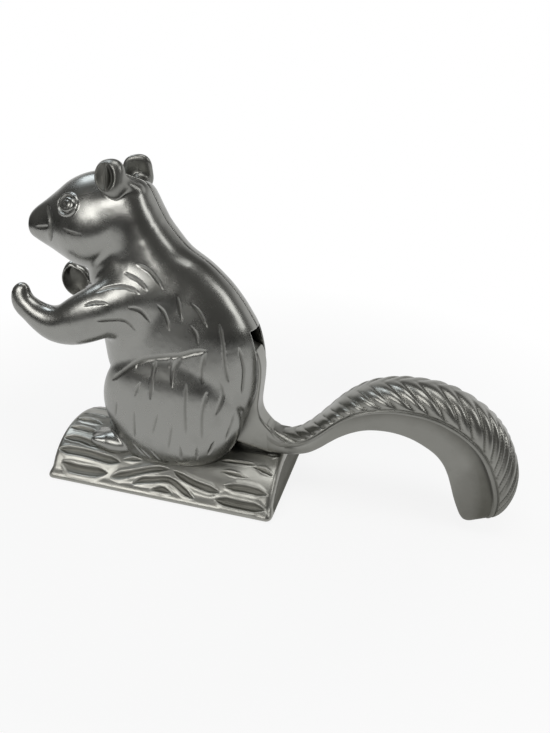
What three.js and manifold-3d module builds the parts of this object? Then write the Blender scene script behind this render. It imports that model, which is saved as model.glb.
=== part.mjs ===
// Lever nutcracker cast as a squirrel sitting on half a log, with its tail for the lever.
// Millimetres, +Z up. The squirrel looks along -X and its tail points along +X.
// The origin is on the ground, in the middle of the log's underside.
import * as THREE from 'three';
import { mergeVertices } from 'three/addons/utils/BufferGeometryUtils.js';
import Module from 'manifold-3d';

const wasm = await Module();
wasm.setup();

// Gaps and cuts
const seatGap = 0.3;
const cutOver = 3;

// Log base, a hollow casting, a little lower at its tail end
const logLength = 130;
const logWidth = 66;
const logHeight = 23;
const logTailHeight = 21.4;
const logWall = 4;
const rimHeight = 3.5;
const rimProud = 1.2;
const ribThick = 6;
const gougeHalfWidth = 2;
const gougeDepth = 1.1;

// Trunk, sliced from the log up to the neck
const trunkRise = 140;
const trunkDepth = 92;
const trunkHalfWidth = 24;
const trunkSquareness = 2.25;
const bodyWall = 5;
const floorOverLog = 7.4;
const cavityFloor = logHeight + floorOverLog;
const cavityRoof = 0.836 * trunkRise;

// Haunch on each side
const haunchLength = 78;
const haunchHeight = 74;
const haunchBulge = 15;
const haunchX = 0.06 * trunkDepth;
const haunchSide = 0.525 * trunkHalfWidth;
const haunchZ = 0.33 * trunkRise;
const haunchTiltDegrees = 8;

// Head, sliced from the nose tip to the nape
const headLength = 74;
const headHeight = 46;
const headHalfWidth = 16;
const headWall = 5;
const noseX = -0.759 * trunkDepth;
const noseZ = 0.96 * trunkRise;

// Ears
const earRadius = 7.7;
const earThick = 4.6;
const earCup = 4;
const earCupShare = 0.8;
const earRootLength = 14.4;
const earX = noseX + 0.76 * headLength;
const earSide = 0.8 * headHalfWidth;
const earZ = noseZ + 0.54 * headHeight;
const earTurnDegrees = 81;
const earTiltDegrees = 11.5;

// Arms, from the shoulder to the curled hand, flatter from side to side
const armReach = 75;
const armDrop = 30;
const armRadius = 13;
const armFlatShare = 0.72;
const armSide = 0.875 * trunkHalfWidth;
const armZ = 0.565 * trunkRise;
const palmWall = 2.3;
const palmFloor = 1.04 * armSide;
const palmStart = 0.62;
const bowlRadius = 9.8;
const bowlDepth = 5;
const bowlWall = 2.5;
const bowlX = -0.857 * armReach;
const bowlZ = armZ + 0.645 * armDrop;

// Feet on the log
const footLength = 26;
const footWidth = 15;
const footHeight = 13;
const footX = -0.315 * trunkDepth;
const footSide = 0.6 * trunkHalfWidth;
const footZ = logHeight - footHeight / 4;

// Tail lever, a plate inside the body and a curled tail behind it
const leverThick = 11;
const hubRadius = 9;
const noseTop = 106;
const noseBottom = 88.5;
const noseThick = 15;
const noseDepth = 23.5;
const chestFace = -0.422 * trunkDepth;
const slotStartX = 0.304 * trunkDepth;
const tailRootX = 0.587 * trunkDepth;
const tailLength = 124;
const tailRise = 76;
const tailCapHalfWidth = 12.5;
const tailWebHalfWidth = 4.2;
const tailRim = 2;
const tailCrownDrop = 1.6;
const barRestX = logLength / 2 - 2 * logWall;
const liftDegrees = 20;
const sweepStepDegrees = 1;

// Pivot pin in blind bosses, with a washer on each side of the lever
const pinRadius = 4;
const pinGrip = 7;
const washerWidth = 4;
const washerThick = 1;
const pivotBossRadius = 8.5;
const pivotX = -0.2174 * trunkDepth;
const pivotZ = cavityFloor + hubRadius + 2 * seatGap;
const bossEnd = leverThick / 2 + washerThick + 2 * seatGap;
const pinLength = 2 * (bossEnd + pinGrip);

// Chest opening round the jaw, and back slot round the lever
const openOverNose = 3;
const openUnderNose = 9.5;
const openBesideNose = 1.1;
const openDepth = 24;
const slotBeside = 0.9;
const slotOverStrip = 10.5;
const slotHalfWidth = leverThick / 2 + slotBeside;

// Jaw plate and its rivet
const jawThick = 3;
const toothCount = 5;
const toothDepth = 0.9;
const rivetRadius = 2.2;
const rivetHeadRadius = 3.8;
const rivetHeadThick = 1.2;
const rivetLength = 12;
const jawBack = chestFace + jawThick + seatGap;
const jawMiddleZ = (noseTop + noseBottom) / 2;

// Screws through the far half into the near half
const bodyScrewRadius = 2;
const bodyScrewHeadRadius = 3.5;
const bodyScrewHeadThick = 3;
const bodyScrewReach = 8;
const bodyBossRadius = 5.2;
const driveAcross = 3.4;
const driveDepth = 1.8;
const driveSides = 6;

// Dowels that line the halves up
const dowelRadius = 2;
const dowelLength = 14;
const dowelBossRadius = 4;

// Screws through the log into the squirrel
const baseScrewRadius = 2.5;
const baseScrewHeadRadius = 4.2;
const baseScrewHeadThick = 3;
const baseScrewGrip = 8;
const basePadRadius = 6.2;

// Facets of round things
const bodyFacets = 28;
const haunchFacets = 24;
const lobeFacets = 16;
const armFacets = 14;
const smallFacets = 20;
const logFacets = 28;

const aluminium = { color: 0x8c8b86, roughness: 0.28, metalness: 1 };
const steel = { color: 0x9a9a9c, roughness: 0.35, metalness: 1 };

// Solids and geometries

function mergedGeometry(geometry) {
  const bare = geometry.index ? geometry : mergeVertices(geometry);
  bare.deleteAttribute('normal');
  bare.deleteAttribute('uv');
  return mergeVertices(bare, 1e-4);
}

function solidOf(geometry) {
  const merged = mergedGeometry(geometry);
  return new wasm.Manifold(new wasm.Mesh({
    numProp: 3,
    vertProperties: new Float32Array(merged.attributes.position.array),
    triVerts: new Uint32Array(merged.index.array),
  }));
}

function geometryOf(solid) {
  const mesh = solid.getMesh();
  const geometry = new THREE.BufferGeometry();
  geometry.setAttribute('position', new THREE.BufferAttribute(mesh.vertProperties, mesh.numProp));
  geometry.setIndex(new THREE.BufferAttribute(mesh.triVerts, 1));
  geometry.computeVertexNormals();
  return geometry;
}

function join(solids) {
  return solids.reduce((all, next) => all.add(next));
}

function signedVolume(points, faces) {
  let sum = 0;
  for (let k = 0; k < faces.length; k += 3) {
    const [a, b, c] = [points[faces[k]], points[faces[k + 1]], points[faces[k + 2]]];
    sum += a[0] * (b[1] * c[2] - b[2] * c[1]);
    sum += a[1] * (b[2] * c[0] - b[0] * c[2]);
    sum += a[2] * (b[0] * c[1] - b[1] * c[0]);
  }
  return sum;
}

// A closed skin over rings of equal counts, with a point in the middle of each end
function loft(rings) {
  const around = rings[0].length;
  const points = rings.flat();
  const faces = [];
  for (let r = 0; r + 1 < rings.length; r++) {
    for (let k = 0; k < around; k++) {
      const a = r * around + k;
      const b = r * around + ((k + 1) % around);
      faces.push(a, b, a + around, b, b + around, a + around);
    }
  }
  for (const end of [0, rings.length - 1]) {
    const centre = points.length;
    const sum = rings[end].reduce((s, p) => [s[0] + p[0], s[1] + p[1], s[2] + p[2]], [0, 0, 0]);
    points.push(sum.map((value) => value / around));
    for (let k = 0; k < around; k++) {
      const a = end * around + k;
      const b = end * around + ((k + 1) % around);
      if (end === 0) faces.push(centre, b, a);
      else faces.push(centre, a, b);
    }
  }
  if (signedVolume(points, faces) < 0) faces.reverse();
  const geometry = new THREE.BufferGeometry();
  geometry.setAttribute('position', new THREE.Float32BufferAttribute(points.flat(), 3));
  geometry.setIndex(faces);
  return solidOf(geometry);
}

// Rows of numbers, smoothly filled in to a given count of rows
function filledIn(rows, count) {
  const filled = [];
  for (let k = 0; k < count; k++) {
    const place = (k * (rows.length - 1)) / (count - 1);
    const first = Math.min(Math.floor(place), rows.length - 2);
    const t = place - first;
    const [before, start, end, after] = [first - 1, first, first + 1, first + 2].map(
      (row) => rows[Math.max(0, Math.min(rows.length - 1, row))]);
    filled.push(start.map((_, column) => {
      const [a, b, c, d] = [before[column], start[column], end[column], after[column]];
      return 0.5 * (2 * b + (c - a) * t + (2 * a - 5 * b + 4 * c - d) * t * t
        + (3 * b - a - 3 * c + d) * t * t * t);
    }));
  }
  return filled;
}

function ellipsoid(radiusX, radiusY, radiusZ, facets = lobeFacets) {
  const geometry = new THREE.SphereGeometry(1, facets, facets / 2);
  geometry.scale(radiusX, radiusY, radiusZ);
  return solidOf(geometry);
}

// A round bar along Y between two places
function barAlongY(radius, x, z, fromY, toY, facets = smallFacets) {
  const geometry = new THREE.CylinderGeometry(radius, radius, toY - fromY, facets);
  geometry.translate(x, (fromY + toY) / 2, z);
  return solidOf(geometry);
}

// A round bar along Z between two heights
function barAlongZ(radius, x, y, fromZ, toZ, facets = smallFacets) {
  const geometry = new THREE.CylinderGeometry(radius, radius, toZ - fromZ, facets);
  geometry.rotateX(Math.PI / 2);
  geometry.translate(x, y, (fromZ + toZ) / 2);
  return solidOf(geometry);
}

// A round bar along X between two places
function barAlongX(radius, z, fromX, toX, facets = smallFacets) {
  const geometry = new THREE.CylinderGeometry(radius, radius, toX - fromX, facets);
  geometry.rotateZ(Math.PI / 2);
  geometry.translate((fromX + toX) / 2, 0, z);
  return solidOf(geometry);
}

function block(lowX, highX, lowY, highY, lowZ, highZ) {
  const geometry = new THREE.BoxGeometry(highX - lowX, highY - lowY, highZ - lowZ);
  geometry.translate((lowX + highX) / 2, (lowY + highY) / 2, (lowZ + highZ) / 2);
  return solidOf(geometry);
}

// A plate whose outline lies in the XZ plane, centred on the middle plane
function plate(outline, thickness) {
  const shape = new THREE.Shape(outline.map(([x, z]) => new THREE.Vector2(x, z)));
  const geometry = new THREE.ExtrudeGeometry(shape, { depth: thickness, bevelEnabled: false });
  geometry.translate(0, 0, -thickness / 2);
  geometry.rotateX(Math.PI / 2);
  return solidOf(geometry);
}

// Log: half a round log, its end faces square, with a rim round the foot

function logTopAt(x) {
  const towardsTail = (x + logLength / 2) / logLength;
  return logHeight + (logTailHeight - logHeight) * towardsTail;
}

function logRing(x, grow) {
  const halfWidth = logWidth / 2 - rimProud + grow;
  const height = logTopAt(x) + grow;
  const radius = (halfWidth ** 2 + height ** 2) / (2 * height);
  const centre = height - radius;
  const reach = Math.atan2(halfWidth, -centre);
  const ring = [];
  for (let k = 0; k <= logFacets; k++) {
    const angle = -reach + (2 * reach * k) / logFacets;
    ring.push([x, radius * Math.sin(angle), centre + radius * Math.cos(angle)]);
  }
  return ring;
}

function logSkin(grow) {
  const end = logLength / 2 - rimProud + grow;
  return loft([-end, 0, end].map((x) => logRing(x, grow)));
}

// Shares of logLength and logWidth
const baseScrewShares = [
  ['front_left', -0.185, -0.18],
  ['front_right', -0.185, 0.18],
  ['rear_left', 0.155, -0.21],
  ['rear_right', 0.155, 0.21],
];
const baseScrewPlaces = baseScrewShares.map(([name, x, y]) => [name, x * logLength, y * logWidth]);

function archHeightAt(x, y, grow) {
  const halfWidth = logWidth / 2 - rimProud + grow;
  const height = logTopAt(x) + grow;
  const radius = (halfWidth ** 2 + height ** 2) / (2 * height);
  return height - radius + Math.sqrt(radius ** 2 - y ** 2);
}

function baseScrewSeat(x, y) {
  return archHeightAt(x + basePadRadius, Math.abs(y) + basePadRadius, -logWall) - seatGap;
}

// Gouges in the bark of each side, along the log: shares of logLength and logWidth
const gougeShares = [
  [[-0.477, -0.070], [-0.41, -0.066], [-0.338, -0.085]],
  [[-0.481, -0.170], [-0.412, -0.164], [-0.331, -0.182]],
  [[-0.481, -0.267], [-0.397, -0.261], [-0.296, -0.292]],
  [[-0.481, -0.352], [-0.348, -0.347], [-0.177, -0.362]],
  [[-0.450, -0.418], [-0.369, -0.439], [-0.223, -0.430]],
  [[-0.208, -0.445], [-0.121, -0.412], [0.046, -0.342]],
  [[0.062, -0.345], [0.190, -0.400], [0.281, -0.414]],
  [[-0.104, -0.461], [0.042, -0.403], [0.181, -0.473]],
  [[0.262, -0.448], [0.371, -0.455], [0.475, -0.452]],
  [[0.288, -0.377], [0.380, -0.370], [0.475, -0.379]],
  [[0.388, -0.215], [0.435, -0.235], [0.478, -0.264]],
];

function gouge(shares) {
  const stations = filledIn(shares, 7).map(([x, y]) => [x * logLength, y * logWidth]);
  return loft(stations.map(([x, y], k) => {
    const [beforeX, beforeY] = stations[Math.max(0, k - 1)];
    const [afterX, afterY] = stations[Math.min(stations.length - 1, k + 1)];
    const centre = new THREE.Vector3(x, y, archHeightAt(x, y, 0));
    const halfWidth = logWidth / 2 - rimProud;
    const archRadius = (halfWidth ** 2 + logTopAt(x) ** 2) / (2 * logTopAt(x));
    const out = new THREE.Vector3(0, y, centre.z - logTopAt(x) + archRadius).normalize();
    const along = new THREE.Vector3(afterX - beforeX, afterY - beforeY,
      archHeightAt(afterX, afterY, 0) - archHeightAt(beforeX, beforeY, 0)).normalize();
    const across = new THREE.Vector3().crossVectors(along, out).normalize();
    const size = Math.max(0.12, Math.sin((Math.PI * k) / (stations.length - 1)) ** 0.7);
    return [[-1, 0.3], [-0.5, -gougeDepth], [0.5, -gougeDepth], [1, 0.3], [0, 1.5]].map(
      ([aside, up]) => centre.clone()
        .addScaledVector(across, aside * gougeHalfWidth * size)
        .addScaledVector(out, up > 0 ? up : up * size)
        .toArray());
  }));
}

function logBase() {
  const halfLength = logLength / 2;
  const halfWidth = logWidth / 2;
  const rim = block(-halfLength, halfLength, -halfWidth, halfWidth, 0, rimHeight);
  const hollow = logSkin(-logWall);
  const mouth = block(-halfLength + logWall + rimProud, halfLength - logWall - rimProud,
    -halfWidth + logWall + rimProud, halfWidth - logWall - rimProud, -cutOver, rimHeight);
  const rib = block(-ribThick / 2, ribThick / 2, -halfWidth + logWall / 2, halfWidth - logWall / 2,
    0, logHeight).intersect(logSkin(-logWall / 2));
  let base = join([logSkin(0), rim]).subtract(hollow).subtract(mouth);
  base = base.add(rib);
  for (const [, x, y] of baseScrewPlaces) {
    const pad = barAlongZ(basePadRadius, x, y, baseScrewSeat(x, y), logHeight);
    base = base.add(pad.intersect(logSkin(0)));
  }
  for (const [, x, y] of baseScrewPlaces) {
    base = base.subtract(barAlongZ(baseScrewRadius + seatGap, x, y, 0, logHeight + cutOver));
  }
  for (const shares of gougeShares) {
    const nearGouge = gouge(shares);
    base = base.subtract(nearGouge).subtract(nearGouge.mirror([0, 1, 0]));
  }
  return base;
}

// Squirrel: shares of trunkRise, trunkDepth (front and back) and trunkHalfWidth
const trunkShares = [
  [0.09, -0.400, 0.345, 0.86],
  [0.14, -0.420, 0.380, 0.93],
  [0.21, -0.415, 0.435, 0.97],
  [0.28, -0.388, 0.485, 0.98],
  [0.35, -0.362, 0.522, 0.97],
  [0.42, -0.345, 0.560, 0.96],
  [0.49, -0.362, 0.570, 0.95],
  [0.56, -0.370, 0.568, 0.91],
  [0.64, -0.382, 0.543, 0.85],
  [0.70, -0.402, 0.498, 0.79],
  [0.75, -0.412, 0.450, 0.74],
  [0.80, -0.418, 0.389, 0.69],
  [0.86, -0.405, 0.290, 0.63],
  [0.92, -0.330, 0.155, 0.56],
  [1.00, -0.240, 0.045, 0.48],
];

function trunkRing(row, inset) {
  const [height, front, back, half] = row;
  const frontX = front * trunkDepth + inset;
  const backX = back * trunkDepth - inset;
  const halfWidth = half * trunkHalfWidth - inset;
  const power = 2 / trunkSquareness;
  const ring = [];
  for (let k = 0; k < bodyFacets; k++) {
    const angle = (2 * Math.PI * k) / bodyFacets;
    const [c, s] = [Math.cos(angle), Math.sin(angle)];
    const x = (frontX + backX) / 2 + ((backX - frontX) / 2) * Math.sign(c) * Math.abs(c) ** power;
    ring.push([x, halfWidth * Math.sign(s) * Math.abs(s) ** power, height * trunkRise]);
  }
  return ring;
}

const trunkRows = filledIn(trunkShares, 19);

function trunk() {
  return loft(trunkRows.map((row) => trunkRing(row, 0)));
}

function trunkCavity() {
  const inside = block(-trunkDepth, trunkDepth, -trunkDepth, trunkDepth, cavityFloor, cavityRoof);
  return loft(trunkRows.map((row) => trunkRing(row, bodyWall))).intersect(inside);
}

function haunch(inset) {
  const shape = ellipsoid(haunchLength / 2 - inset, haunchBulge - inset, haunchHeight / 2 - inset,
    inset > 0 ? lobeFacets : haunchFacets);
  return shape.rotate([0, -haunchTiltDegrees, 0]).translate([haunchX, -haunchSide, haunchZ]);
}

// Head: shares of headLength, headHeight (under and over the nose tip) and headHalfWidth
const headShares = [
  [0.000, -0.03, 0.02, 0.10],
  [0.018, -0.10, 0.08, 0.22],
  [0.070, -0.17, 0.17, 0.33],
  [0.170, -0.26, 0.275, 0.49],
  [0.270, -0.35, 0.375, 0.68],
  [0.370, -0.42, 0.475, 0.86],
  [0.480, -0.44, 0.545, 0.97],
  [0.590, -0.43, 0.578, 1.00],
  [0.700, -0.38, 0.575, 0.99],
  [0.800, -0.28, 0.524, 0.91],
  [0.900, -0.10, 0.408, 0.73],
  [0.970, 0.04, 0.265, 0.46],
  [1.000, 0.10, 0.17, 0.22],
];

const headRows = filledIn(headShares, 17);

function headRing(row, inset) {
  const [along, under, over, half] = row;
  const low = noseZ + under * headHeight + inset;
  const high = noseZ + over * headHeight - inset;
  const ring = [];
  for (let k = 0; k < bodyFacets; k++) {
    const angle = (2 * Math.PI * k) / bodyFacets;
    const y = (half * headHalfWidth - inset) * Math.cos(angle);
    ring.push([noseX + along * headLength, y, (low + high) / 2 + ((high - low) / 2) * Math.sin(angle)]);
  }
  return ring;
}

function headCavity() {
  const rows = headRows.filter(([along]) => along > 0.26 && along < 0.9);
  return loft(rows.map((row) => headRing(row, headWall)));
}

function ear() {
  const flap = ellipsoid(earThick, earRadius, earRadius);
  const cupRadius = earRadius * earCupShare;
  const cup = ellipsoid(earCup, cupRadius, cupRadius).translate([-earThick, 0, 0]);
  const root = ellipsoid(earRootLength / 2, 0.6 * earRadius, 0.62 * earRadius)
    .rotate([0, 18, 26])
    .translate([earX + earRootLength / 3, -earSide + 0.4 * earRadius, earZ - 0.16 * earRadius]);
  const place = (solid) => solid
    .rotate([0, earTiltDegrees, 0])
    .rotate([0, 0, earTurnDegrees])
    .translate([earX, -earSide, earZ]);
  return place(flap).add(root).subtract(place(cup));
}

// Arm: shares of armReach ahead of the middle, armDrop over armZ, armSide, armRadius
const armShares = [
  [-0.06, 0.85, 0.46, 0.80],
  [-0.20, 0.78, 0.62, 1.00],
  [-0.34, 0.62, 0.84, 0.98],
  [-0.46, 0.48, 0.95, 0.90],
  [-0.56, 0.375, 1.00, 0.78],
  [-0.67, 0.365, 1.02, 0.70],
  [-0.76, 0.455, 1.02, 0.58],
  [-0.83, 0.565, 1.00, 0.49],
  [-0.88, 0.67, 1.00, 0.45],
  [-0.89, 0.82, 0.99, 0.35],
  [-0.87, 0.92, 0.98, 0.22],
  [-0.855, 0.955, 0.98, 0.08],
];

function arm() {
  const rows = filledIn(armShares, 17);
  const centres = rows.map(([ahead, over, side]) =>
    new THREE.Vector3(ahead * armReach, -side * armSide, armZ + over * armDrop));
  const rings = centres.map((centre, k) => {
    const before = centres[Math.max(0, k - 1)];
    const after = centres[Math.min(centres.length - 1, k + 1)];
    const along = after.clone().sub(before).normalize();
    const across = new THREE.Vector3(0, 1, 0).addScaledVector(along, -along.y).normalize();
    const up = new THREE.Vector3().crossVectors(along, across);
    const radius = rows[k][3] * armRadius;
    const ring = [];
    for (let f = 0; f < armFacets; f++) {
      const angle = (2 * Math.PI * f) / armFacets;
      const point = centre.clone()
        .addScaledVector(up, radius * Math.cos(angle))
        .addScaledVector(across, radius * armFlatShare * Math.sin(angle));
      ring.push(point.toArray());
    }
    return ring;
  });
  return loft(rings).subtract(palm(rows, centres));
}

// The hand is a shell, open towards the other hand
function palm(rows, centres) {
  const edges = [[], []];
  rows.forEach(([ahead, , , radius], k) => {
    const room = radius * armRadius - palmWall;
    if (ahead > -palmStart || room < 0.5) return;
    const before = centres[Math.max(0, k - 1)];
    const after = centres[Math.min(centres.length - 1, k + 1)];
    const along = new THREE.Vector2(after.x - before.x, after.z - before.z).normalize();
    edges[0].push([centres[k].x - along.y * room, centres[k].z + along.x * room]);
    edges[1].unshift([centres[k].x + along.y * room, centres[k].z - along.x * room]);
  });
  const depth = 0.8 * armSide;
  return plate(edges.flat(), depth).translate([0, depth / 2 - palmFloor, 0]);
}

// The far hand is a fuller bowl than the near one
function withBowl(skin) {
  const hollowRadius = 0.9 * bowlRadius;
  const bowl = ellipsoid(bowlRadius, bowlDepth, bowlRadius).translate([bowlX, -armSide, bowlZ]);
  const hollow = ellipsoid(hollowRadius, hollowRadius, hollowRadius)
    .translate([bowlX, hollowRadius + bowlWall - bowlDepth - armSide, bowlZ]);
  return skin.add(bowl).subtract(hollow);
}

function foot() {
  const sole = ellipsoid(footLength / 2, footWidth / 2, footHeight / 2);
  return sole.translate([footX, -footSide, footZ]);
}

// Screws and dowels between the halves: shares of trunkDepth and trunkRise, and for a screw
// the share of trunkHalfWidth where its head sits
const bodyScrewShares = [
  ['neck', -0.26, 0.907, 0.375],
  ['back', 0.14, 0.836, 0.27],
  ['front', -0.337, 0.207, 0.375],
];
const bodyScrewPlaces = bodyScrewShares.map(([name, x, z, seat]) =>
  [name, x * trunkDepth, z * trunkRise, seat * trunkHalfWidth]);
const dowelShares = [
  ['muzzle', -0.543, 0.968],
  ['nape', -0.054, 1.036],
];
const dowelPlaces = dowelShares.map(([name, x, z]) => [name, x * trunkDepth, z * trunkRise]);

function squirrelSkin() {
  return join([trunk(), haunch(0), loft(headRows.map((row) => headRing(row, 0))), ear(), arm(), foot()]);
}

// The near half; its mirror image is the far half
function bodyHalf(isFar) {
  const big = trunkRise * 2;
  const skin = isFar ? withBowl(squirrelSkin()) : squirrelSkin();
  const haunchHollow = haunch(bodyWall)
    .intersect(block(-big, big, -big, 0, cavityFloor, cavityRoof));
  let half = skin.subtract(join([trunkCavity(), haunchHollow, headCavity()]));

  const bosses = [];
  for (const [, x, z] of bodyScrewPlaces) bosses.push(barAlongY(bodyBossRadius, x, z, -big, 0));
  for (const [, x, z] of dowelPlaces) bosses.push(barAlongY(dowelBossRadius, x, z, -big, 0));
  bosses.push(barAlongY(pivotBossRadius, pivotX, pivotZ, -big, -bossEnd));
  half = half.add(join(bosses).intersect(skin));

  const cuts = [];
  cuts.push(block(-big, big, -seatGap / 2, big, -big, big));
  cuts.push(logSkin(seatGap));
  cuts.push(block(-big, big, -big, big, -big, rimHeight + seatGap));
  cuts.push(block(chestFace - cutOver, chestFace + openDepth, -noseThick / 2 - openBesideNose, cutOver,
    noseBottom - openUnderNose, noseTop + openOverNose));
  cuts.push(block(slotStartX, trunkDepth, -slotHalfWidth, cutOver, 0, stripTop + slotOverStrip));
  cuts.push(leverSweep());
  cuts.push(barAlongY(pinRadius + washerWidth + seatGap, pivotX, pivotZ, -bossEnd, 0));
  cuts.push(barAlongY(pinRadius + seatGap, pivotX, pivotZ, -pinLength / 2 - seatGap, 0));
  for (const [, x, z, seat] of bodyScrewPlaces) {
    if (isFar) {
      cuts.push(barAlongY(bodyScrewRadius + seatGap, x, z, -big, 0));
      cuts.push(barAlongY(bodyScrewHeadRadius + seatGap, x, z, -big, -seat + seatGap));
    } else {
      cuts.push(barAlongY(bodyScrewRadius + seatGap, x, z, -bodyScrewReach - seatGap, 0));
    }
  }
  for (const [, x, z] of dowelPlaces) {
    cuts.push(barAlongY(dowelRadius + seatGap, x, z, -dowelLength / 2 - seatGap, 0));
  }
  for (const [, x, y] of baseScrewPlaces) {
    const tip = baseScrewSeat(x, y) + logWall + baseScrewGrip;
    cuts.push(barAlongZ(baseScrewRadius + seatGap, x, -Math.abs(y), 0, tip + seatGap));
  }
  half = cuts.reduce((left, cut) => left.subtract(cut), half);
  return isFar ? half.mirror([0, 1, 0]) : half;
}

// Tail lever: crown and underside of the tail, as shares of tailLength along X and tailRise up
const crownShares = [
  [0.000, 0.524], [0.022, 0.497], [0.060, 0.474], [0.102, 0.483], [0.146, 0.520], [0.196, 0.590],
  [0.248, 0.683], [0.306, 0.788], [0.366, 0.872], [0.420, 0.925], [0.478, 0.957], [0.540, 0.978],
  [0.602, 0.982], [0.674, 0.976], [0.750, 0.944], [0.826, 0.882], [0.890, 0.806], [0.941, 0.712],
  [0.978, 0.602], [1.003, 0.497], [1.014, 0.398], [1.009, 0.290], [0.986, 0.185], [0.946, 0.100],
];
const webShares = [
  [0.000, 0.310], [0.030, 0.305], [0.066, 0.302], [0.106, 0.305], [0.150, 0.318], [0.190, 0.340],
  [0.232, 0.385], [0.272, 0.440], [0.312, 0.492], [0.362, 0.542], [0.414, 0.576], [0.470, 0.590],
  [0.528, 0.588], [0.588, 0.566], [0.642, 0.526], [0.690, 0.474], [0.724, 0.410], [0.746, 0.342],
  [0.764, 0.270], [0.780, 0.205], [0.797, 0.150], [0.816, 0.102], [0.842, 0.070], [0.880, 0.056],
];

// Widths at each station: how far the cap and the web have grown to their full size
const capWidthShares = [
  0.44, 0.44, 0.46, 0.50, 0.58, 0.68, 0.79, 0.88, 0.94, 0.98, 1, 1,
  1, 1, 1, 1, 1, 1, 1, 1, 1, 0.97, 0.88, 0.66,
];
const webWidthShares = [
  1.30, 1.30, 1.30, 1.30, 1.30, 1.25, 1.15, 1.05, 1, 1, 1, 1,
  1, 1, 1, 1, 1, 1, 1, 1, 1.05, 1.2, 1.5, 1.5,
];

function tail() {
  const rows = filledIn(crownShares.map(([x, z], k) => [
    tailRootX + x * tailLength, z * tailRise,
    tailRootX + webShares[k][0] * tailLength, webShares[k][1] * tailRise,
    capWidthShares[k] * tailCapHalfWidth, webWidthShares[k] * tailWebHalfWidth,
  ]), 36);
  // Half of a section: depth share from crown to web edge, and side share of the cap
  const capShares = [[0, 0], [0.036, 0.38], [0.117, 0.69], [0.235, 0.90], [0.37, 1]];
  return loft(rows.map(([crownX, crownZ, webX, webZ, cap, web]) => {
    const depth = Math.hypot(webX - crownX, webZ - crownZ);
    const [downX, downZ] = [(webX - crownX) / depth, (webZ - crownZ) / depth];
    const capDepth = depth - tailCrownDrop;
    const half = capShares.map(([down, side]) => [tailCrownDrop + down * capDepth, side * cap]);
    const rimEnd = tailCrownDrop + capShares[4][0] * capDepth + tailRim;
    half.push([rimEnd, cap], [rimEnd + tailRim / 2, (cap + web) / 2], [rimEnd + tailRim * 1.6, web]);
    half.push([depth - web / 2, web], [depth, web / 2]);
    const mirrored = half.slice(1).reverse().map(([down, side]) => [down, -side]);
    return [...half, ...mirrored].map(([down, side]) =>
      [crownX + downX * down, side, crownZ + downZ * down]);
  }));
}

// Plate's top and back strip, and its bar's underside: shares of trunkDepth and trunkRise
const stripShares = [
  [0.217, 0.700], [0.500, 0.586], [0.550, 0.575], [0.567, 0.521], [0.566, 0.464], [0.554, 0.400],
  [0.547, 0.350], [0.553, 0.311], [0.576, 0.286],
];
const undersideShares = [[0.717, 0.200], [0.391, 0.186]];
const stripTop = stripShares[2][1] * trunkRise;

function leverOutline() {
  const crownStart = [tailRootX + crownShares[1][0] * tailLength, crownShares[1][1] * tailRise];
  const strip = stripShares.map(([x, z]) => [x * trunkDepth, z * trunkRise]);
  const [barEnd, barStart] = undersideShares.map(([x, z]) => [x * trunkDepth, z * trunkRise]);
  const nape = jawBack + noseDepth;
  const underside = cavityFloor + seatGap * 2;
  const diagonal = hubRadius * Math.SQRT1_2;
  return [
    [jawBack, noseTop], [nape, noseTop], ...strip, crownStart,
    barEnd, [barRestX, logTopAt(barRestX) + seatGap], barStart, [slotStartX + cutOver, underside],
    [pivotX, underside], [pivotX - diagonal, pivotZ - diagonal],
    [pivotX - hubRadius, pivotZ], [pivotX - diagonal, pivotZ + diagonal],
    [nape - hubRadius / 2, (noseBottom + pivotZ) / 2], [nape, noseBottom], [jawBack, noseBottom],
  ];
}

// The room that the lever's plate needs inside the body as it is lifted
function leverSweep() {
  const swell = 1 + seatGap / (2 * pivotBossRadius + hubRadius);
  const rested = plate(leverOutline(), slotHalfWidth * 2).translate([-pivotX, 0, -pivotZ])
    .scale([swell, 1, swell]);
  const places = [];
  for (let angle = 0; angle <= liftDegrees; angle += sweepStepDegrees) {
    places.push(rested.rotate([0, -angle, 0]));
  }
  return join(places).translate([pivotX, 0, pivotZ]);
}

function tailLever() {
  const nose = block(jawBack, jawBack + noseDepth / 2, -noseThick / 2, noseThick / 2, noseBottom, noseTop);
  let lever = join([plate(leverOutline(), leverThick), tail(), nose]);
  lever = lever.subtract(barAlongY(pinRadius + seatGap, pivotX, pivotZ, -leverThick, leverThick));
  return lever.subtract(barAlongX(rivetRadius + seatGap, jawMiddleZ, jawBack - cutOver,
    chestFace + rivetLength + seatGap));
}

function jawPlate() {
  const height = noseTop - noseBottom;
  let jaw = block(chestFace, chestFace + jawThick, -noseThick / 2, noseThick / 2, noseBottom, noseTop);
  for (let k = 0; k < toothCount; k++) {
    const notch = new THREE.CylinderGeometry(toothDepth, toothDepth, noseThick + cutOver, 4);
    notch.translate(chestFace, 0, noseBottom + ((k + 0.5) * height) / toothCount);
    jaw = jaw.subtract(solidOf(notch));
  }
  const hole = barAlongX(rivetRadius + seatGap, jawMiddleZ, chestFace - cutOver,
    chestFace + jawThick + cutOver);
  const seat = barAlongX(rivetHeadRadius + seatGap, jawMiddleZ, chestFace - cutOver,
    chestFace + rivetHeadThick + seatGap);
  return jaw.subtract(hole).subtract(seat);
}

function jawRivet() {
  const head = barAlongX(rivetHeadRadius, jawMiddleZ, chestFace, chestFace + rivetHeadThick);
  const shank = barAlongX(rivetRadius, jawMiddleZ, chestFace + rivetHeadThick / 2, chestFace + rivetLength);
  return head.add(shank);
}

function washer(side) {
  const inner = leverThick / 2 + seatGap;
  const disc = barAlongY(pinRadius + washerWidth, pivotX, pivotZ, inner, inner + washerThick);
  const ring = disc.subtract(barAlongY(pinRadius + seatGap, pivotX, pivotZ, 0, pinLength));
  return side < 0 ? ring.mirror([0, 1, 0]) : ring;
}

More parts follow.
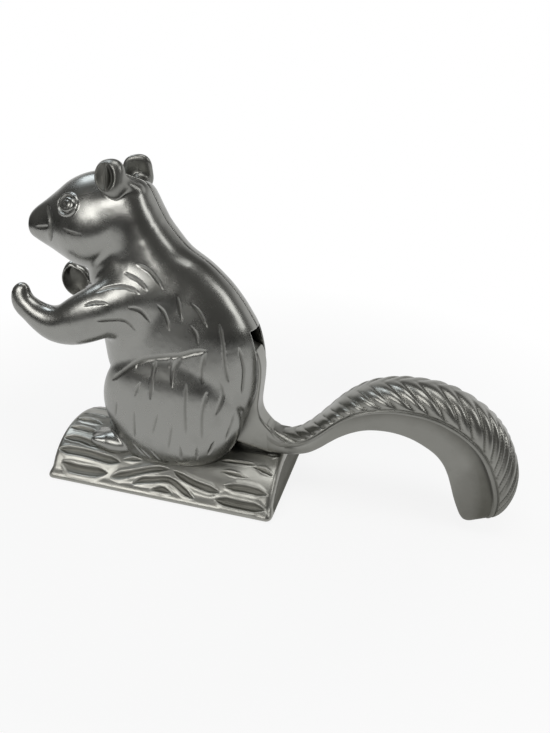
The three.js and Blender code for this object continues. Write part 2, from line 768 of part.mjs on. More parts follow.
function bodyScrew([, x, z, seat]) {
  const head = barAlongY(bodyScrewHeadRadius, x, z, seat, seat + bodyScrewHeadThick);
  const shank = barAlongY(bodyScrewRadius, x, z, -bodyScrewReach, seat + bodyScrewHeadThick / 2);
  const top = seat + bodyScrewHeadThick;
  const drive = barAlongY(driveAcross / 2, x, z, top - driveDepth, top + cutOver, driveSides);
  return head.add(shank).subtract(drive);
}

function baseScrew([, x, y]) {
  const seat = baseScrewSeat(x, y) - seatGap;
  const head = barAlongZ(baseScrewHeadRadius, x, y, seat - baseScrewHeadThick, seat);
  const shank = barAlongZ(baseScrewRadius, x, y, seat - baseScrewHeadThick / 2,
    seat + logWall + baseScrewGrip);
  const bottom = seat - baseScrewHeadThick;
  return head.add(shank).subtract(
    barAlongZ(driveAcross / 2, x, y, bottom - cutOver, bottom + driveDepth, driveSides));
}

// The whole nutcracker, one named mesh for each piece
const nutcracker = new THREE.Group();

function addPiece(name, solid, finish) {
  const mesh = new THREE.Mesh(geometryOf(solid), new THREE.MeshStandardMaterial(finish));
  mesh.name = name;
  nutcracker.add(mesh);
}

addPiece('log_base', logBase(), aluminium);
addPiece('body_left_half', bodyHalf(false), aluminium);
addPiece('body_right_half', bodyHalf(true), aluminium);
addPiece('tail_lever', tailLever(), aluminium);
addPiece('jaw_plate', jawPlate(), steel);
addPiece('jaw_rivet', jawRivet(), steel);
addPiece('pivot_pin', barAlongY(pinRadius, pivotX, pivotZ, -pinLength / 2, pinLength / 2), steel);
addPiece('pivot_washer_left', washer(-1), steel);
addPiece('pivot_washer_right', washer(1), steel);
for (const place of bodyScrewPlaces) addPiece(`body_screw_${place[0]}`, bodyScrew(place), steel);
for (const [name, x, z] of dowelPlaces) {
  addPiece(`dowel_${name}`, barAlongY(dowelRadius, x, z, -dowelLength / 2, dowelLength / 2), steel);
}
for (const place of baseScrewPlaces) addPiece(`base_screw_${place[0]}`, baseScrew(place), steel);

export default nutcracker;
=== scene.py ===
import math

import bpy
import numpy as np
from mathutils.kdtree import KDTree
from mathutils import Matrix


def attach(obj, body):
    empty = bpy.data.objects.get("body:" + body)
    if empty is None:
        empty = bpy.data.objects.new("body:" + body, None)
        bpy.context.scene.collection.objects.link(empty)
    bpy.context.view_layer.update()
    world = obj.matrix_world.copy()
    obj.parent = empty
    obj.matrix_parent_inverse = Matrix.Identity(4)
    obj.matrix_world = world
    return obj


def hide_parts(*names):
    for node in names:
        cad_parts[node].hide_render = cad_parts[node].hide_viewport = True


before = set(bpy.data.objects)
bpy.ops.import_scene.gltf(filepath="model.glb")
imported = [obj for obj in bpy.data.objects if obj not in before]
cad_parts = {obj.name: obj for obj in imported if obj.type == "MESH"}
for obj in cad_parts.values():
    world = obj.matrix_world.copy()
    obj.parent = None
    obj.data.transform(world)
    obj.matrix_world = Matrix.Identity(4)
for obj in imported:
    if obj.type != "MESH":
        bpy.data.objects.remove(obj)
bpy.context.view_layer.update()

# Log base, sizes in mm: half a log, cast hollow in aluminium. Its outside is polished, and the
# gouges of its bark are left satin, their colour painted darker as shade. It stands on a rim
# and a cross rib, and takes the four screws that hold the squirrel.
log_length = 130.0
log_half_length = 64.4
log_half_width = 32.4
log_nose_height = 23.0
log_tail_height = 21.4
log_wall = 4.0
log_end_round = 3.6
rim_half_length = 64.8
rim_half_width = 32.9
rim_height = 3.6
rim_round = 2.6
rim_blend = 3.2
foot_round = 2.4
rib_half_thickness = 3.0
rib_half_width = 31.0
inside_top = 24.0
base_boss_radius = 6.2
base_hole_radius = 2.8
base_screws = [(-24.05, 11.88), (20.15, 13.86)]
base_screw_seats = [12.1, 10.1]
bark_end = 64.2
bark_foot = 2.6
lip_height = 0.3
grain_height = 0.08
log_cell = 0.62

# Each gouge: its line along the log (x, y), half width and depth
bark_gouges = [
    ([(-62.5, -11.2), (-53.5, -10.8), (-43.0, -12.0)], 1.4, 1.1),
    ([(-62.5, -17.6), (-51.6, -17.2), (-38.5, -19.3)], 1.6, 1.3),
    ([(-62.5, -23.2), (-45.2, -22.9), (-33.0, -23.6), (-23.0, -23.9)], 1.7, 1.4),
    ([(-58.5, -27.6), (-52.0, -28.9), (-42.0, -29.0), (-29.0, -28.4)], 1.6, 1.4),
    ([(-27.0, -29.4), (-15.7, -27.2), (-4.0, -24.2), (6.0, -22.6)], 1.2, 1.2),
    ([(8.0, -22.8), (14.0, -24.6), (24.7, -26.4), (36.5, -27.3)], 1.2, 1.2),
    ([(-13.5, -30.4), (-9.0, -28.6), (-2.0, -27.6), (5.5, -26.6), (10.5, -27.2), (17.0, -29.2),
      (23.5, -31.2)], 1.1, 1.2),
    ([(-2.5, -31.0), (3.2, -30.0), (8.5, -30.4), (11.0, -31.2)], 1.1, 1.0),
    ([(34.0, -29.6), (48.2, -30.0), (61.8, -29.8)], 1.6, 1.3),
    ([(37.5, -24.9), (49.4, -24.4), (61.8, -25.0)], 1.4, 1.2),
    ([(33.6, -19.4), (41.0, -19.4), (49.4, -20.2)], 0.8, 0.6),
    ([(50.5, -14.2), (57.0, -15.2), (62.2, -17.4)], 1.2, 0.9),
    ([(30.5, -14.6), (40.0, -13.6), (52.0, -13.0)], 0.8, 0.5),
    ([(-22.3, -22.6), (-16.0, -21.6), (-10.0, -21.3)], 0.9, 0.7),
    ([(-62.0, -4.6), (-52.0, -4.2), (-44.0, -5.6)], 1.4, 1.1),
    ([(-61.5, 1.4), (-50.0, 1.8), (-42.0, 0.8)], 1.0, 0.7),
    ([(55.5, -5.6), (62.3, -5.0)], 1.2, 0.7),
]


def smooth_min(a, b, blend):
    return np.minimum(a, b) - np.maximum(blend - np.abs(a - b), 0) ** 2 / (4 * blend)


def smooth_max(a, b, blend):
    return -smooth_min(-a, -b, blend)


def eased(rows, count=240):
    """A table of sizes, smoothly filled in to a given count of rows."""
    rows = np.array(rows, float)
    place = np.linspace(0, len(rows) - 1, count)
    first = np.minimum(place.astype(int), len(rows) - 2)
    t = (place - first)[:, None]
    before, start, end, after = (
        rows[np.clip(first + step, 0, len(rows) - 1)] for step in (-1, 0, 1, 2)
    )
    return 0.5 * (
        2 * start
        + (end - before) * t
        + (2 * before - 5 * start + 4 * end - after) * t**2
        + (3 * start - before - 3 * end + after) * t**3
    )


def box_distance(p, low, high):
    centre, half = (np.add(low, high)) / 2, (np.subtract(high, low)) / 2
    q = np.abs(p - centre) - half
    return np.linalg.norm(np.maximum(q, 0), axis=1) + np.minimum(q.max(axis=1), 0)


def bar_distance(p, axis, place, radius, start, end):
    """Distance to a round bar along one axis, through place on the other two."""
    across = [k for k in range(3) if k != axis]
    off = np.hypot(p[:, across[0]] - place[0], p[:, across[1]] - place[1]) - radius
    return np.maximum(off, np.maximum(start - p[:, axis], p[:, axis] - end))


def slope_of(field, p, step=0.04):
    rise = [field(p + step * unit) - field(p - step * unit) for unit in np.eye(3)]
    return np.stack(rise, 1) / (2 * step)


def skin_mesh(field, low, high, cell, settle=3):
    """Points and quads on the surface where field is zero: one point in each grid cell that
    the surface crosses, moved onto the surface along the field's slope."""
    low = np.array(low, float)
    block = 6
    blocks = np.ceil((np.array(high) - low) / (cell * block)).astype(int)
    count = blocks * block + 1
    places = np.stack(np.meshgrid(*[np.arange(n) for n in blocks], indexing="ij"), -1)
    middles = field((low + cell * block * (places + 0.5)).reshape(-1, 3)).reshape(blocks)
    value = np.full(count, 1.0)
    value[:-1, :-1, :-1] = middles.repeat(block, 0).repeat(block, 1).repeat(block, 2)
    fine = np.zeros(count, bool)
    for i, j, k in np.argwhere(np.abs(middles) < 1.5 * cell * block):
        i, j, k = i * block, j * block, k * block
        fine[i : i + block + 1, j : j + block + 1, k : k + block + 1] = True
    value[fine] = field(low + cell * np.argwhere(fine))
    inside = value < 0
    total = np.zeros((*(count - 1), 3))
    crossed = np.zeros(count - 1, int)
    for axis in range(3):
        a, b = [slice(None)] * 3, [slice(None)] * 3
        a[axis], b[axis] = slice(0, -1), slice(1, None)
        va, vb = value[tuple(a)], value[tuple(b)]
        change = inside[tuple(a)] != inside[tuple(b)]
        share = np.where(change, va / np.where(change, va - vb, 1), 0)
        others = [k for k in range(3) if k != axis]
        for i in (0, 1):
            for j in (0, 1):
                take = [slice(None)] * 3
                take[others[0]] = slice(i, i + count[others[0]] - 1)
                take[others[1]] = slice(j, j + count[others[1]] - 1)
                hit = change[tuple(take)]
                crossed += hit
                total[..., axis] += np.where(hit, share[tuple(take)], 0)
                total[..., others[0]] += np.where(hit, i, 0)
                total[..., others[1]] += np.where(hit, j, 0)
    cells = np.argwhere(crossed > 0)
    at = tuple(cells.T)
    points = low + cell * (cells + total[at] / crossed[at][:, None])
    number = np.full(crossed.shape, -1)
    number[at] = np.arange(len(cells))
    quads = []
    for axis in range(3):
        others = [(axis + 1) % 3, (axis + 2) % 3]
        a, b = [slice(1, -1)] * 3, [slice(1, -1)] * 3
        a[axis], b[axis] = slice(0, -1), slice(1, None)
        place = np.argwhere(inside[tuple(a)] != inside[tuple(b)])
        place[:, others] += 1
        starts_inside = inside[tuple(place.T)]
        corners = []
        for i, j in ((0, 0), (1, 0), (1, 1), (0, 1)):
            near = place.copy()
            near[:, others] -= (i, j)
            corners.append(number[tuple(near.T)])
        quad = np.stack(corners, 1)
        quad[~starts_inside] = quad[~starts_inside][:, ::-1]
        quads.append(quad)
    for _ in range(settle):
        slope = slope_of(field, points)
        move = field(points)[:, None] * slope / np.maximum((slope**2).sum(1), 0.2)[:, None]
        length = np.linalg.norm(move, axis=1)[:, None]
        points = points - move * np.minimum(1, 0.4 * cell / np.maximum(length, 1e-9))
    return points, np.concatenate(quads)


def line_share(p, line, half_width, taper=4.0):
    """1 on a line, falling to 0 at its half width, which narrows to a point at both ends."""
    line = np.array(line, float)
    if 2 < len(line) < 9:
        line = eased(line, 5 * len(line))
    steps = np.diff(line, axis=0)
    run = np.concatenate([[0], np.cumsum(np.linalg.norm(steps, axis=1))])
    best = np.full(len(p), 1e9)
    along = np.zeros(len(p))
    for k, step in enumerate(steps):
        t = np.clip((p - line[k]) @ step / (step @ step), 0, 1)
        off = np.linalg.norm(p - line[k] - t[:, None] * step, axis=1)
        nearer = off < best
        best = np.where(nearer, off, best)
        along = np.where(nearer, run[k] + t * (run[k + 1] - run[k]), along)
    taper = min(taper, run[-1] / 2)
    ends = np.clip(np.minimum(along, run[-1] - along) / taper, 0.02, 1) ** 0.6
    return np.clip(1 - best / (half_width * ends), 0, 1) * ends


def arch_distance(p):
    """Distance to the log's round back, a little higher at the nose than at the tail."""
    fall = (log_tail_height - log_nose_height) * (p[:, 0] + log_length / 2) / log_length
    high = log_nose_height + fall
    radius = (log_half_width**2 + high**2) / (2 * high)
    return np.hypot(p[:, 1], p[:, 2] - high + radius) - radius


def log_field(p):
    x, z = p[:, 0], p[:, 2]
    arch = arch_distance(p)
    solid = smooth_max(arch, np.abs(x) - log_half_length, log_end_round)
    half = np.array([rim_half_length, rim_half_width, rim_height]) - rim_round
    rim = box_distance(p, -half, half) - rim_round
    solid = smooth_max(smooth_min(solid, rim, rim_blend), -z, foot_round)
    hollow = np.maximum(arch, np.abs(x) - log_half_length) + log_wall
    fill = box_distance(p, (-rib_half_thickness, -rib_half_width, 0),
                        (rib_half_thickness, rib_half_width, inside_top))
    for (sx, sy), seat in zip(base_screws, base_screw_seats):
        for side in (-1, 1):
            boss = bar_distance(p, 2, (sx, side * sy), base_boss_radius, seat, inside_top)
            fill = np.minimum(fill, boss)
    inner = np.maximum(fill, np.maximum(arch + 2, -z))
    solid = np.minimum(smooth_max(solid, -hollow, 0.6), inner)
    for sx, sy in base_screws:
        for side in (-1, 1):
            hole = bar_distance(p, 2, (sx, side * sy), base_hole_radius, 0, 30)
            solid = np.maximum(solid, -hole)
    return solid


def bare_object(name, points, faces):
    """A mesh object in metres, from points in millimetres."""
    mesh = bpy.data.meshes.new(name)
    mesh.from_pydata((np.asarray(points) / 1000).tolist(), [], faces)
    mesh.validate()
    made = bpy.data.objects.new(name, mesh)
    bpy.context.scene.collection.objects.link(made)
    return made


def set_marks(mesh, marks):
    """Surface marks for the finish, one value on each point."""
    for mark, values in marks.items():
        mesh.attributes.new(mark, "FLOAT", "POINT").data.foreach_set(
            "value", np.asarray(values, np.float32)
        )


def grounded(points, quads, name, marks, body, node):
    """A smooth mesh object with its surface marks, that stands for a CAD node."""
    piece = bare_object(name, points, quads.tolist())
    set_marks(piece.data, marks)
    piece.data.shade_smooth()
    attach(piece, body)
    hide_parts(node)
    return piece


class Wire:
    """One value inside a material, so that sums on it are written as sums."""

    def __init__(self, tree, socket=None):
        self.tree, self.socket = tree, socket

    def node(self, kind, settings=None, inputs=None, out=0):
        made = self.tree.nodes.new(kind)
        for name, value in (settings or {}).items():
            setattr(made, name, value)
        for name, value in (inputs or {}).items():
            if isinstance(value, Wire):
                self.tree.links.new(value.socket, made.inputs[name])
            else:
                made.inputs[name].default_value = value
        return Wire(self.tree, made.outputs[out]) if made.outputs else None

    def maths(self, operation, first, second):
        return self.node("ShaderNodeMath", {"operation": operation}, {0: first, 1: second})

    def __add__(self, other):
        return self.maths("ADD", self, other)

    def __radd__(self, other):
        return self.maths("ADD", other, self)

    def __sub__(self, other):
        return self.maths("SUBTRACT", self, other)

    def __rsub__(self, other):
        return self.maths("SUBTRACT", other, self)

    def __mul__(self, other):
        return self.maths("MULTIPLY", self, other)

    def __rmul__(self, other):
        return self.maths("MULTIPLY", other, self)

    def held(self, low=0.0, high=1.0):
        return self.maths("MINIMUM", self.maths("MAXIMUM", self, low), high)

    def between(self, start, end):
        """Linear from 0 at start to 1 at end."""
        return ((self - start) * (1 / (end - start))).held()

    def mixed(self, colour_a, colour_b):
        """Colour a where this is 0, colour b where it is 1."""
        return self.node(
            "ShaderNodeMix", {"data_type": "RGBA"}, {0: self, 6: colour_a, 7: colour_b}, 2
        )


def new_material(name):
    material = bpy.data.materials.new(name)
    material.use_nodes = True
    material.node_tree.nodes.clear()
    return material, Wire(material.node_tree)


def noise(w, at, scale, detail, rough):
    return w.node(
        "ShaderNodeTexNoise",
        inputs={"Vector": at, "Scale": scale, "Detail": detail, "Roughness": rough},
    )


def stretched(w, at, lines):
    return w.node("ShaderNodeVectorMath", {"operation": "MULTIPLY"}, {0: at, 1: lines})


def metal_surface(w, colour, rough, bump):
    shader = w.node(
        "ShaderNodeBsdfPrincipled",
        inputs={"Base Color": colour, "Metallic": 1.0, "Roughness": rough, "Normal": bump},
    )
    w.node("ShaderNodeOutputMaterial", inputs={"Surface": shader})


def cast_metal(name, bright, as_cast_and_shade, polish, cut_shade):
    """Aluminium polished on its open faces and left as cast in its hollows. The mark "cut"
    is 1 at the bottom of a carved line or crease, rougher there and painted darker as shade;
    "raw" is where no wheel has reached; and "deep" is inside, painted near black as shade."""
    material, w = new_material(name)
    at = w.node("ShaderNodeTexCoord", out="Object")
    cut, raw, deep = (
        w.node("ShaderNodeAttribute", {"attribute_name": mark}, out="Fac")
        for mark in ("cut", "raw", "deep")
    )
    hairline = noise(w, stretched(w, at, (90.0, 700.0, 90.0)), 1.0, 4.0, 0.6)
    cloud = noise(w, at, 60.0, 4.0, 0.55)
    pits = noise(w, at, 1500.0, 3.0, 0.6)
    grit = noise(w, at, 520.0, 5.0, 0.7)
    swell = noise(w, at, 85.0, 2.0, 0.5)
    # The cut mark's darkening is painted shade in lines and creases; raw is the duller as-cast face
    dull_and_shade = (cut * cut_shade + raw).held()
    stain_and_shade = (cloud.between(0.52, 0.75) * 0.16 + dull_and_shade * 0.9).held()
    # Painted shade: where the mark "deep" is set, the inside is painted near black
    colour = deep.held().mixed(stain_and_shade.mixed(bright, as_cast_and_shade), (0.012, 0.012, 0.01, 1))
    rough = (
        polish
        + cloud.between(0.35, 0.7) * 0.07
        + (hairline - 0.5) * 0.10
        + cut * 0.16
        + raw * 0.34
    ).held(0.06, 0.9)
    height = (
        (swell - 0.5) * 2.6
        + (hairline - 0.5) * (0.05 * (1 - raw))
        + (pits - 0.5) * 0.05
        + (grit - 0.5) * (raw * 1.4 + cut * 0.25)
    )
    bump = w.node(
        "ShaderNodeBump", inputs={"Strength": 0.45, "Distance": 0.0002, "Height": height}
    )
    metal_surface(w, colour, rough, bump)
    return material


points, quads = skin_mesh(log_field, (-67, -35, -1.4), (67, 35, 25), log_cell)
normals = slope_of(log_field, points)
normals /= np.linalg.norm(normals, axis=1)[:, None]
arch = arch_distance(points)
outside = (arch > -1.0) & (np.abs(points[:, 0]) < bark_end) & (points[:, 2] > bark_foot)
sunk, depth, lips = np.zeros((3, len(points)))
for line, half_width, deep in bark_gouges:
    for side in (1, -1):
        if side == -1 and abs(line[0][1]) < 9:
            continue
        at = [(x, side * y) for x, y in line]
        share = line_share(points[:, :2], at, half_width, 6.0) * outside
        sunk = np.maximum(sunk, np.clip(share * 2.5, 0, 1))
        depth = np.maximum(depth, deep * (1 - (1 - share) ** 2))
        lips = np.maximum(lips, line_share(points[:, :2], at, half_width * 2.2, 6.0) * outside)
grain = grain_height * np.sin(points[:, 1] * 2.6 + 1.2 * np.sin(points[:, 0] * 0.11)) * sunk
raised = lip_height * np.sin(lips * math.pi) * (1 - sunk)
points = points - normals * (depth + grain - raised)[:, None]
below = (arch_distance(points) < -3.4) | (points[:, 2] < 0.4)
# The gouges carry the cut mark: rougher, and painted darker as shade
log_base = grounded(
    points, quads, "log_casting", {"cut": sunk, "raw": below * 1.0},
    "frame", "log_base",
)
log_base.data.materials.append(
    cast_metal("bark_aluminium", (0.32, 0.318, 0.292, 1), (0.115, 0.113, 0.095, 1), 0.32, 0.8)
)

# Squirrel: two hollow shells cast in aluminium, left and right, that meet on the middle
# plane. The outside is wheel-polished, with fur strokes cut into it, their bottoms painted
# darker as shade; the hands' cups, the ears and the inside are left as cast, and the inside is
# painted near black as shade. The shells stand on the log and carry the pivot pin.
trunk_rise = 140.0
trunk_depth = 92.0
trunk_half_width = 24.0
body_wall = 5.0
cavity_floor = 30.4
cavity_roof = 117.0
head_length = 74.0
head_height = 46.0
head_half_width = 16.0
cheek_fullness = 0.22
nose_x = -69.83
nose_z = 134.4
arm_reach = 75.0
arm_drop = 30.0
arm_radius = 13.0
arm_flat_share = 0.72
arm_side = 21.0
arm_z = 79.1
pivot_x = -20.0
pivot_z = 40.0
seam_half_gap = 0.15
slot_half_width = 6.4
slot_start_x = 28.0
slot_top = 91.0
lift_degrees = 20.0
screw_post_radius = 5.2
screw_hole_radius = 2.3
screw_head_radius = 3.8
dowel_post_radius = 4.0
dowel_hole_radius = 2.3
pivot_boss_radius = 8.5
pivot_boss_face = -7.1
washer_room_radius = 8.3
pivot_hole_radius = 4.3
pivot_hole_end = -14.4
chest_opening = (-60, -8.6, 79.0), (-14.8, 8, 109.0)
hand_wall = 2.3
cup_floor_y = -21.9
cup_end_x = -48.0
hand_box = (-76, -24, 80), (-44, 1, 114)
far_hand_box = (-80, -36, 80), (-44, 1, 114)
ear_box = (-26, -26, 142), (4, 0, 172)
log_gap = 0.3
lever_gap = 0.7
body_cell = 0.52

# Height, front, back and half width of the trunk, as shares
trunk_table = eased([
    [0.09, -0.4, 0.345, 0.86], [0.14, -0.42, 0.38, 0.93], [0.21, -0.415, 0.435, 0.97],
    [0.28, -0.388, 0.485, 0.98], [0.35, -0.362, 0.522, 0.97], [0.42, -0.345, 0.56, 0.96],
    [0.49, -0.362, 0.57, 0.95], [0.56, -0.37, 0.568, 0.91], [0.64, -0.382, 0.543, 0.85],
    [0.7, -0.402, 0.498, 0.79], [0.75, -0.412, 0.45, 0.74], [0.8, -0.418, 0.389, 0.69],
    [0.86, -0.405, 0.29, 0.63], [0.92, -0.33, 0.155, 0.56], [1.0, -0.24, 0.045, 0.48],
]) * [trunk_rise, trunk_depth, trunk_depth, trunk_half_width]

# Place along the head, underside, top and half width, as shares
head_table = eased([
    [0.0, -0.09, 0.05, 0.16], [0.018, -0.14, 0.11, 0.27], [0.07, -0.19, 0.18, 0.36],
    [0.17, -0.27, 0.275, 0.49], [0.27, -0.35, 0.375, 0.68], [0.37, -0.42, 0.475, 0.86],
    [0.48, -0.44, 0.545, 0.97], [0.59, -0.4, 0.578, 0.98], [0.7, -0.3, 0.575, 0.92],
    [0.8, -0.15, 0.524, 0.8], [0.9, 0.0, 0.395, 0.6], [0.96, 0.07, 0.26, 0.34],
    [1.0, 0.12, 0.15, 0.12],
]) * [head_length, head_height, head_height, head_half_width] + [nose_x, nose_z, nose_z, 0]

# Reach ahead, rise, side and radius of the arm, as shares
arm_table = eased([
    [-0.06, 0.85, 0.46, 0.8], [-0.2, 0.78, 0.62, 1.0], [-0.34, 0.62, 0.84, 0.98],
    [-0.46, 0.48, 0.95, 0.9], [-0.56, 0.375, 1.0, 0.78], [-0.67, 0.365, 1.02, 0.7],
    [-0.76, 0.455, 1.02, 0.58], [-0.83, 0.565, 1.0, 0.49], [-0.88, 0.67, 1.0, 0.45],
    [-0.89, 0.82, 0.99, 0.35], [-0.87, 0.92, 0.98, 0.22], [-0.855, 0.955, 0.98, 0.08],
], 34)
arm_line = np.stack([
    arm_table[:, 0] * arm_reach, -arm_table[:, 2] * arm_side,
    arm_z + arm_table[:, 1] * arm_drop, arm_table[:, 3] * arm_radius,
], 1)

# Places of the screws and dowels between the shells: x, z, and where a screw's head sits
body_screws = [(-23.92, 126.98, 9.0), (12.88, 117.04, 6.48), (-31.0, 28.98, 9.0)]
dowels = [(-49.96, 135.52), (-4.97, 145.04)]


def trunk_distance(p, power=2.25):
    x, y, z = p.T
    front, back, half = (np.interp(z, trunk_table[:, 0], trunk_table[:, k]) for k in (1, 2, 3))
    reach = (back - front) / 2
    u = np.abs(x - (front + back) / 2) / reach + 1e-6
    v = np.abs(y) / half + 1e-6
    share = (u**power + v**power) ** (1 / power)
    steep = share ** (1 - power) * np.hypot(u ** (power - 1) / reach, v ** (power - 1) / half)
    return smooth_max((share - 1) / steep, z - trunk_rise, 12.0)


def head_distance(p):
    x, y, z = p.T

    def share_at(x):
        low, high, half = (
            np.interp(x, head_table[:, 0], head_table[:, k]) for k in (1, 2, 3)
        )
        middle, tall = (low + high) / 2, (high - low) / 2
        up = (z - middle) / tall
        half = half * (1 - cheek_fullness * np.tanh(up))
        return np.hypot(y / half, up) + 1e-6, middle, tall, half

    share, middle, tall, half = share_at(x)
    slope = (share_at(x + 0.3)[0] - share_at(x - 0.3)[0]) / 0.6 * np.clip((3 - share) / 2, 0, 1)
    steep = np.hypot(np.hypot(y / half**2, (z - middle) / tall**2) / share, slope)
    side = np.maximum((share - 1) / np.maximum(steep, 0.01), nose_x - x)
    return smooth_max(side, x - nose_x - 0.93 * head_length, 6.0)


def turned(p, centre, turn=0.0, tilt=0.0):
    """Points seen from a piece that was tilted about Y, then turned about Z."""
    q = p - np.array(centre, float)
    for axis, angle in ((2, turn), (1, tilt)):
        if angle:
            a, b = [k for k in range(3) if k != axis]
            c, s = math.cos(math.radians(angle)), math.sin(math.radians(angle))
            q = q.copy()
            q[:, a], q[:, b] = q[:, a] * c + q[:, b] * s, q[:, b] * c - q[:, a] * s
    return q


def egg_distance(q, radii):
    radii = np.array(radii, float)
    far = np.linalg.norm(q / radii, axis=1) + 1e-6
    steep = np.linalg.norm(q / radii**2, axis=1) + 1e-9
    return far * (far - 1) / steep


def near_box(p, field, low, high):
    """A field that is worked out only inside a box, and taken as far away outside it."""
    value = np.full(len(p), 40.0)
    inside = ((p > low) & (p < high)).all(1)
    if inside.any():
        value[inside] = field(p[inside])
    return value


def bar_between(p, a, b, radius_a, radius_b):
    step = np.subtract(b, a)
    t = np.clip((p - a) @ step / (step @ step), 0, 1)
    return np.linalg.norm(p - a - t[:, None] * step, axis=1) - radius_a - t * (radius_b - radius_a)


def arm_distance(p):
    """The arm's bars, melted into one another."""
    total = np.full(len(p), 1e-30)
    flat = np.array([1, 1 / arm_flat_share, 1])
    for a, b in zip(arm_line[:-1], arm_line[1:]):
        total += np.exp(-bar_between(p * flat, a[:3] * flat, b[:3] * flat, a[3], b[3]) / 0.8)
    return 0.7 - 0.8 * np.log(total)


def ear_view(p):
    return turned(p, (-14.2, -12.8, 159.5), turn=81, tilt=-11.5)


def ear_mouth(p):
    return egg_distance(ear_view(p) + (5.4, 0, 0), (5.2, 6.3, 6.6))


def ear_distance(p, far_shell=False):
    """The ear with its root and its inner fold. The far one has a flat back."""
    q = ear_view(p)
    ear = smooth_min(egg_distance(q - (0.3, 0, 0), (3.9, 7.4, 7.6)),
                     egg_distance(q - (0.4, -2.6, -3.2), (3.6, 4.4, 5.4)), 2.0)
    ear = smooth_min(ear, egg_distance(p - (-10.4, -12.0, 163.0), (3.6, 2.6, 3.6)), 3.0)
    if far_shell:
        ear = smooth_max(ear, q[:, 0] - 1.4, 2.5)
        root = bar_between(p, (-12.8, -12.4, 155.0), (-9.0, -7.0, 151.6), 3.6, 3.2)
        ear = smooth_min(ear, root, 2.0)
    else:
        root = bar_between(p, (-12.4, -10.8, 158.6), (-4.6, -6.0, 153.6), 4.4, 2.4)
        ear = smooth_min(ear, root, 3.0)
    fold = egg_distance(q - (-1.0, -0.6, -0.4), (2.6, 1.3, 6.4))
    return smooth_min(smooth_max(ear, -ear_mouth(p), 0.7), fold, 0.6)


def hand_cup(p):
    """The hands are shells: their palms are hollow, and open towards each other."""
    flat = np.full(len(p), 99.0)
    for a, b in zip(arm_line[:-1], arm_line[1:]):
        a, b = a[[0, 2, 3]], b[[0, 2, 3]]
        step = b[:2] - a[:2]
        t = np.clip((p[:, [0, 2]] - a[:2]) @ step / (step @ step), 0, 1)
        gap = np.linalg.norm(p[:, [0, 2]] - a[:2] - t[:, None] * step, axis=1)
        flat = np.minimum(flat, gap - a[2] - t * (b[2] - a[2]))
    cup = smooth_max(flat + hand_wall, cup_floor_y - p[:, 1], 1.5)
    return smooth_max(cup, p[:, 0] - cup_end_x, 6.0)


def foot_distance(p):
    foot = egg_distance(p - np.array([-29.0, -14.4, 19.75]), (13, 7.5, 6.6))
    for y, x in ((-10.0, -39.0), (-14.4, -40.2), (-18.8, -38.2)):
        toe = egg_distance(p - np.array([x, y, 21.2]), (4.6, 2.4, 2.8))
        foot = smooth_min(foot, toe, 2.2)
    return foot


def nape_distance(p):
    """The neck, a bar with a flat back and flat sides, down from the ears to the shoulders."""
    q = turned(p, (-8.8, 0.0, 140.4), tilt=25.5)
    half = 12.2 - 0.05 * q[:, 2]
    share = ((np.abs(q[:, 0]) / 12.4) ** 2.4 + (np.abs(q[:, 1]) / half) ** 2.4) ** (1 / 2.4)
    return smooth_max((share - 1) * 12.0, np.maximum(q[:, 2] - 14, -40 - q[:, 2]), 8.0)


def haunch_view(p):
    return turned(p, (5.52, -12.6, 46.2), tilt=8)


def far_hand(p):
    return egg_distance(p - (-64.3, -21.0, 98.5), (9.8, 5.0, 9.8))


def far_palm(p):
    return egg_distance(p - (-64.3, -14.7, 98.5), (8.8, 8.8, 8.8))


def squirrel_skin(p, far_shell=False):
    """The outside of the left shell, as if solid. The right hand is a fuller bowl."""
    along = np.interp(p[:, 0], [-40, -24, -14, -4], [1.2, 2.0, 4, 5])
    skin = smooth_min(trunk_distance(p), head_distance(p), along)
    nape = near_box(p, nape_distance, (-44, -26, 84), (34, 1, 172))
    skin = smooth_min(skin, nape, 6.0)
    skin = smooth_min(skin, egg_distance(haunch_view(p), (39, 15, 37)), 1.4)
    arm = near_box(p, arm_distance, (-76, -36, 64), (14, 3, 124))
    skin = smooth_min(skin, arm, np.interp(p[:, 0], [-40, -24, -8], [3.2, 5.0, 10.0]))
    if far_shell:
        skin = smooth_min(skin, near_box(p, far_hand, *far_hand_box), 1.0)
        skin = smooth_max(skin, -near_box(p, far_palm, *far_hand_box), 0.7)
    skin = smooth_max(skin, -near_box(p, hand_cup, *hand_box), 0.7)
    skin = smooth_min(skin, near_box(p, foot_distance, (-50, -28, 8), (-10, 0, 34)), 1.0)
    ear = near_box(p, lambda q: ear_distance(q, far_shell), *ear_box)
    return smooth_min(skin, ear, 1.6)


def outline_distance(q, outline):
    """Signed distance to a closed outline in the plane."""
    best = np.full(len(q), 1e9)
    odd = np.zeros(len(q), bool)
    for a, b in zip(outline, np.roll(outline, -1, axis=0)):
        step = b - a
        t = np.clip((q - a) @ step / (step @ step), 0, 1)
        best = np.minimum(best, ((q - a - t[:, None] * step) ** 2).sum(1))
        above = (a[1] > q[:, 1]) != (b[1] > q[:, 1])
        if step[1]:
            odd ^= above & (q[:, 0] < a[0] + step[0] * (q[:, 1] - a[1]) / step[1])
    return np.sqrt(best) * np.where(odd, -1, 1)


def swept_room(outline):
    """Distance in the middle plane to the room that the lever's plate sweeps as it is lifted."""
    xs, zs = np.arange(-60, 70, 0.5), np.arange(20, 130, 0.5)
    grid = np.stack(np.meshgrid(xs, zs, indexing="ij"), -1).reshape(-1, 2)
    room = np.full(len(grid), 99.0)
    for angle in np.radians(np.arange(0, lift_degrees + 0.1, 2)):
        c, s = math.cos(angle), math.sin(angle)
        q = grid - (pivot_x, pivot_z)
        q = np.stack([q[:, 0] * c + q[:, 1] * s, q[:, 1] * c - q[:, 0] * s], 1)
        room = np.minimum(room, outline_distance(q + (pivot_x, pivot_z), outline))
    return xs, zs, (room - lever_gap).reshape(len(xs), len(zs))


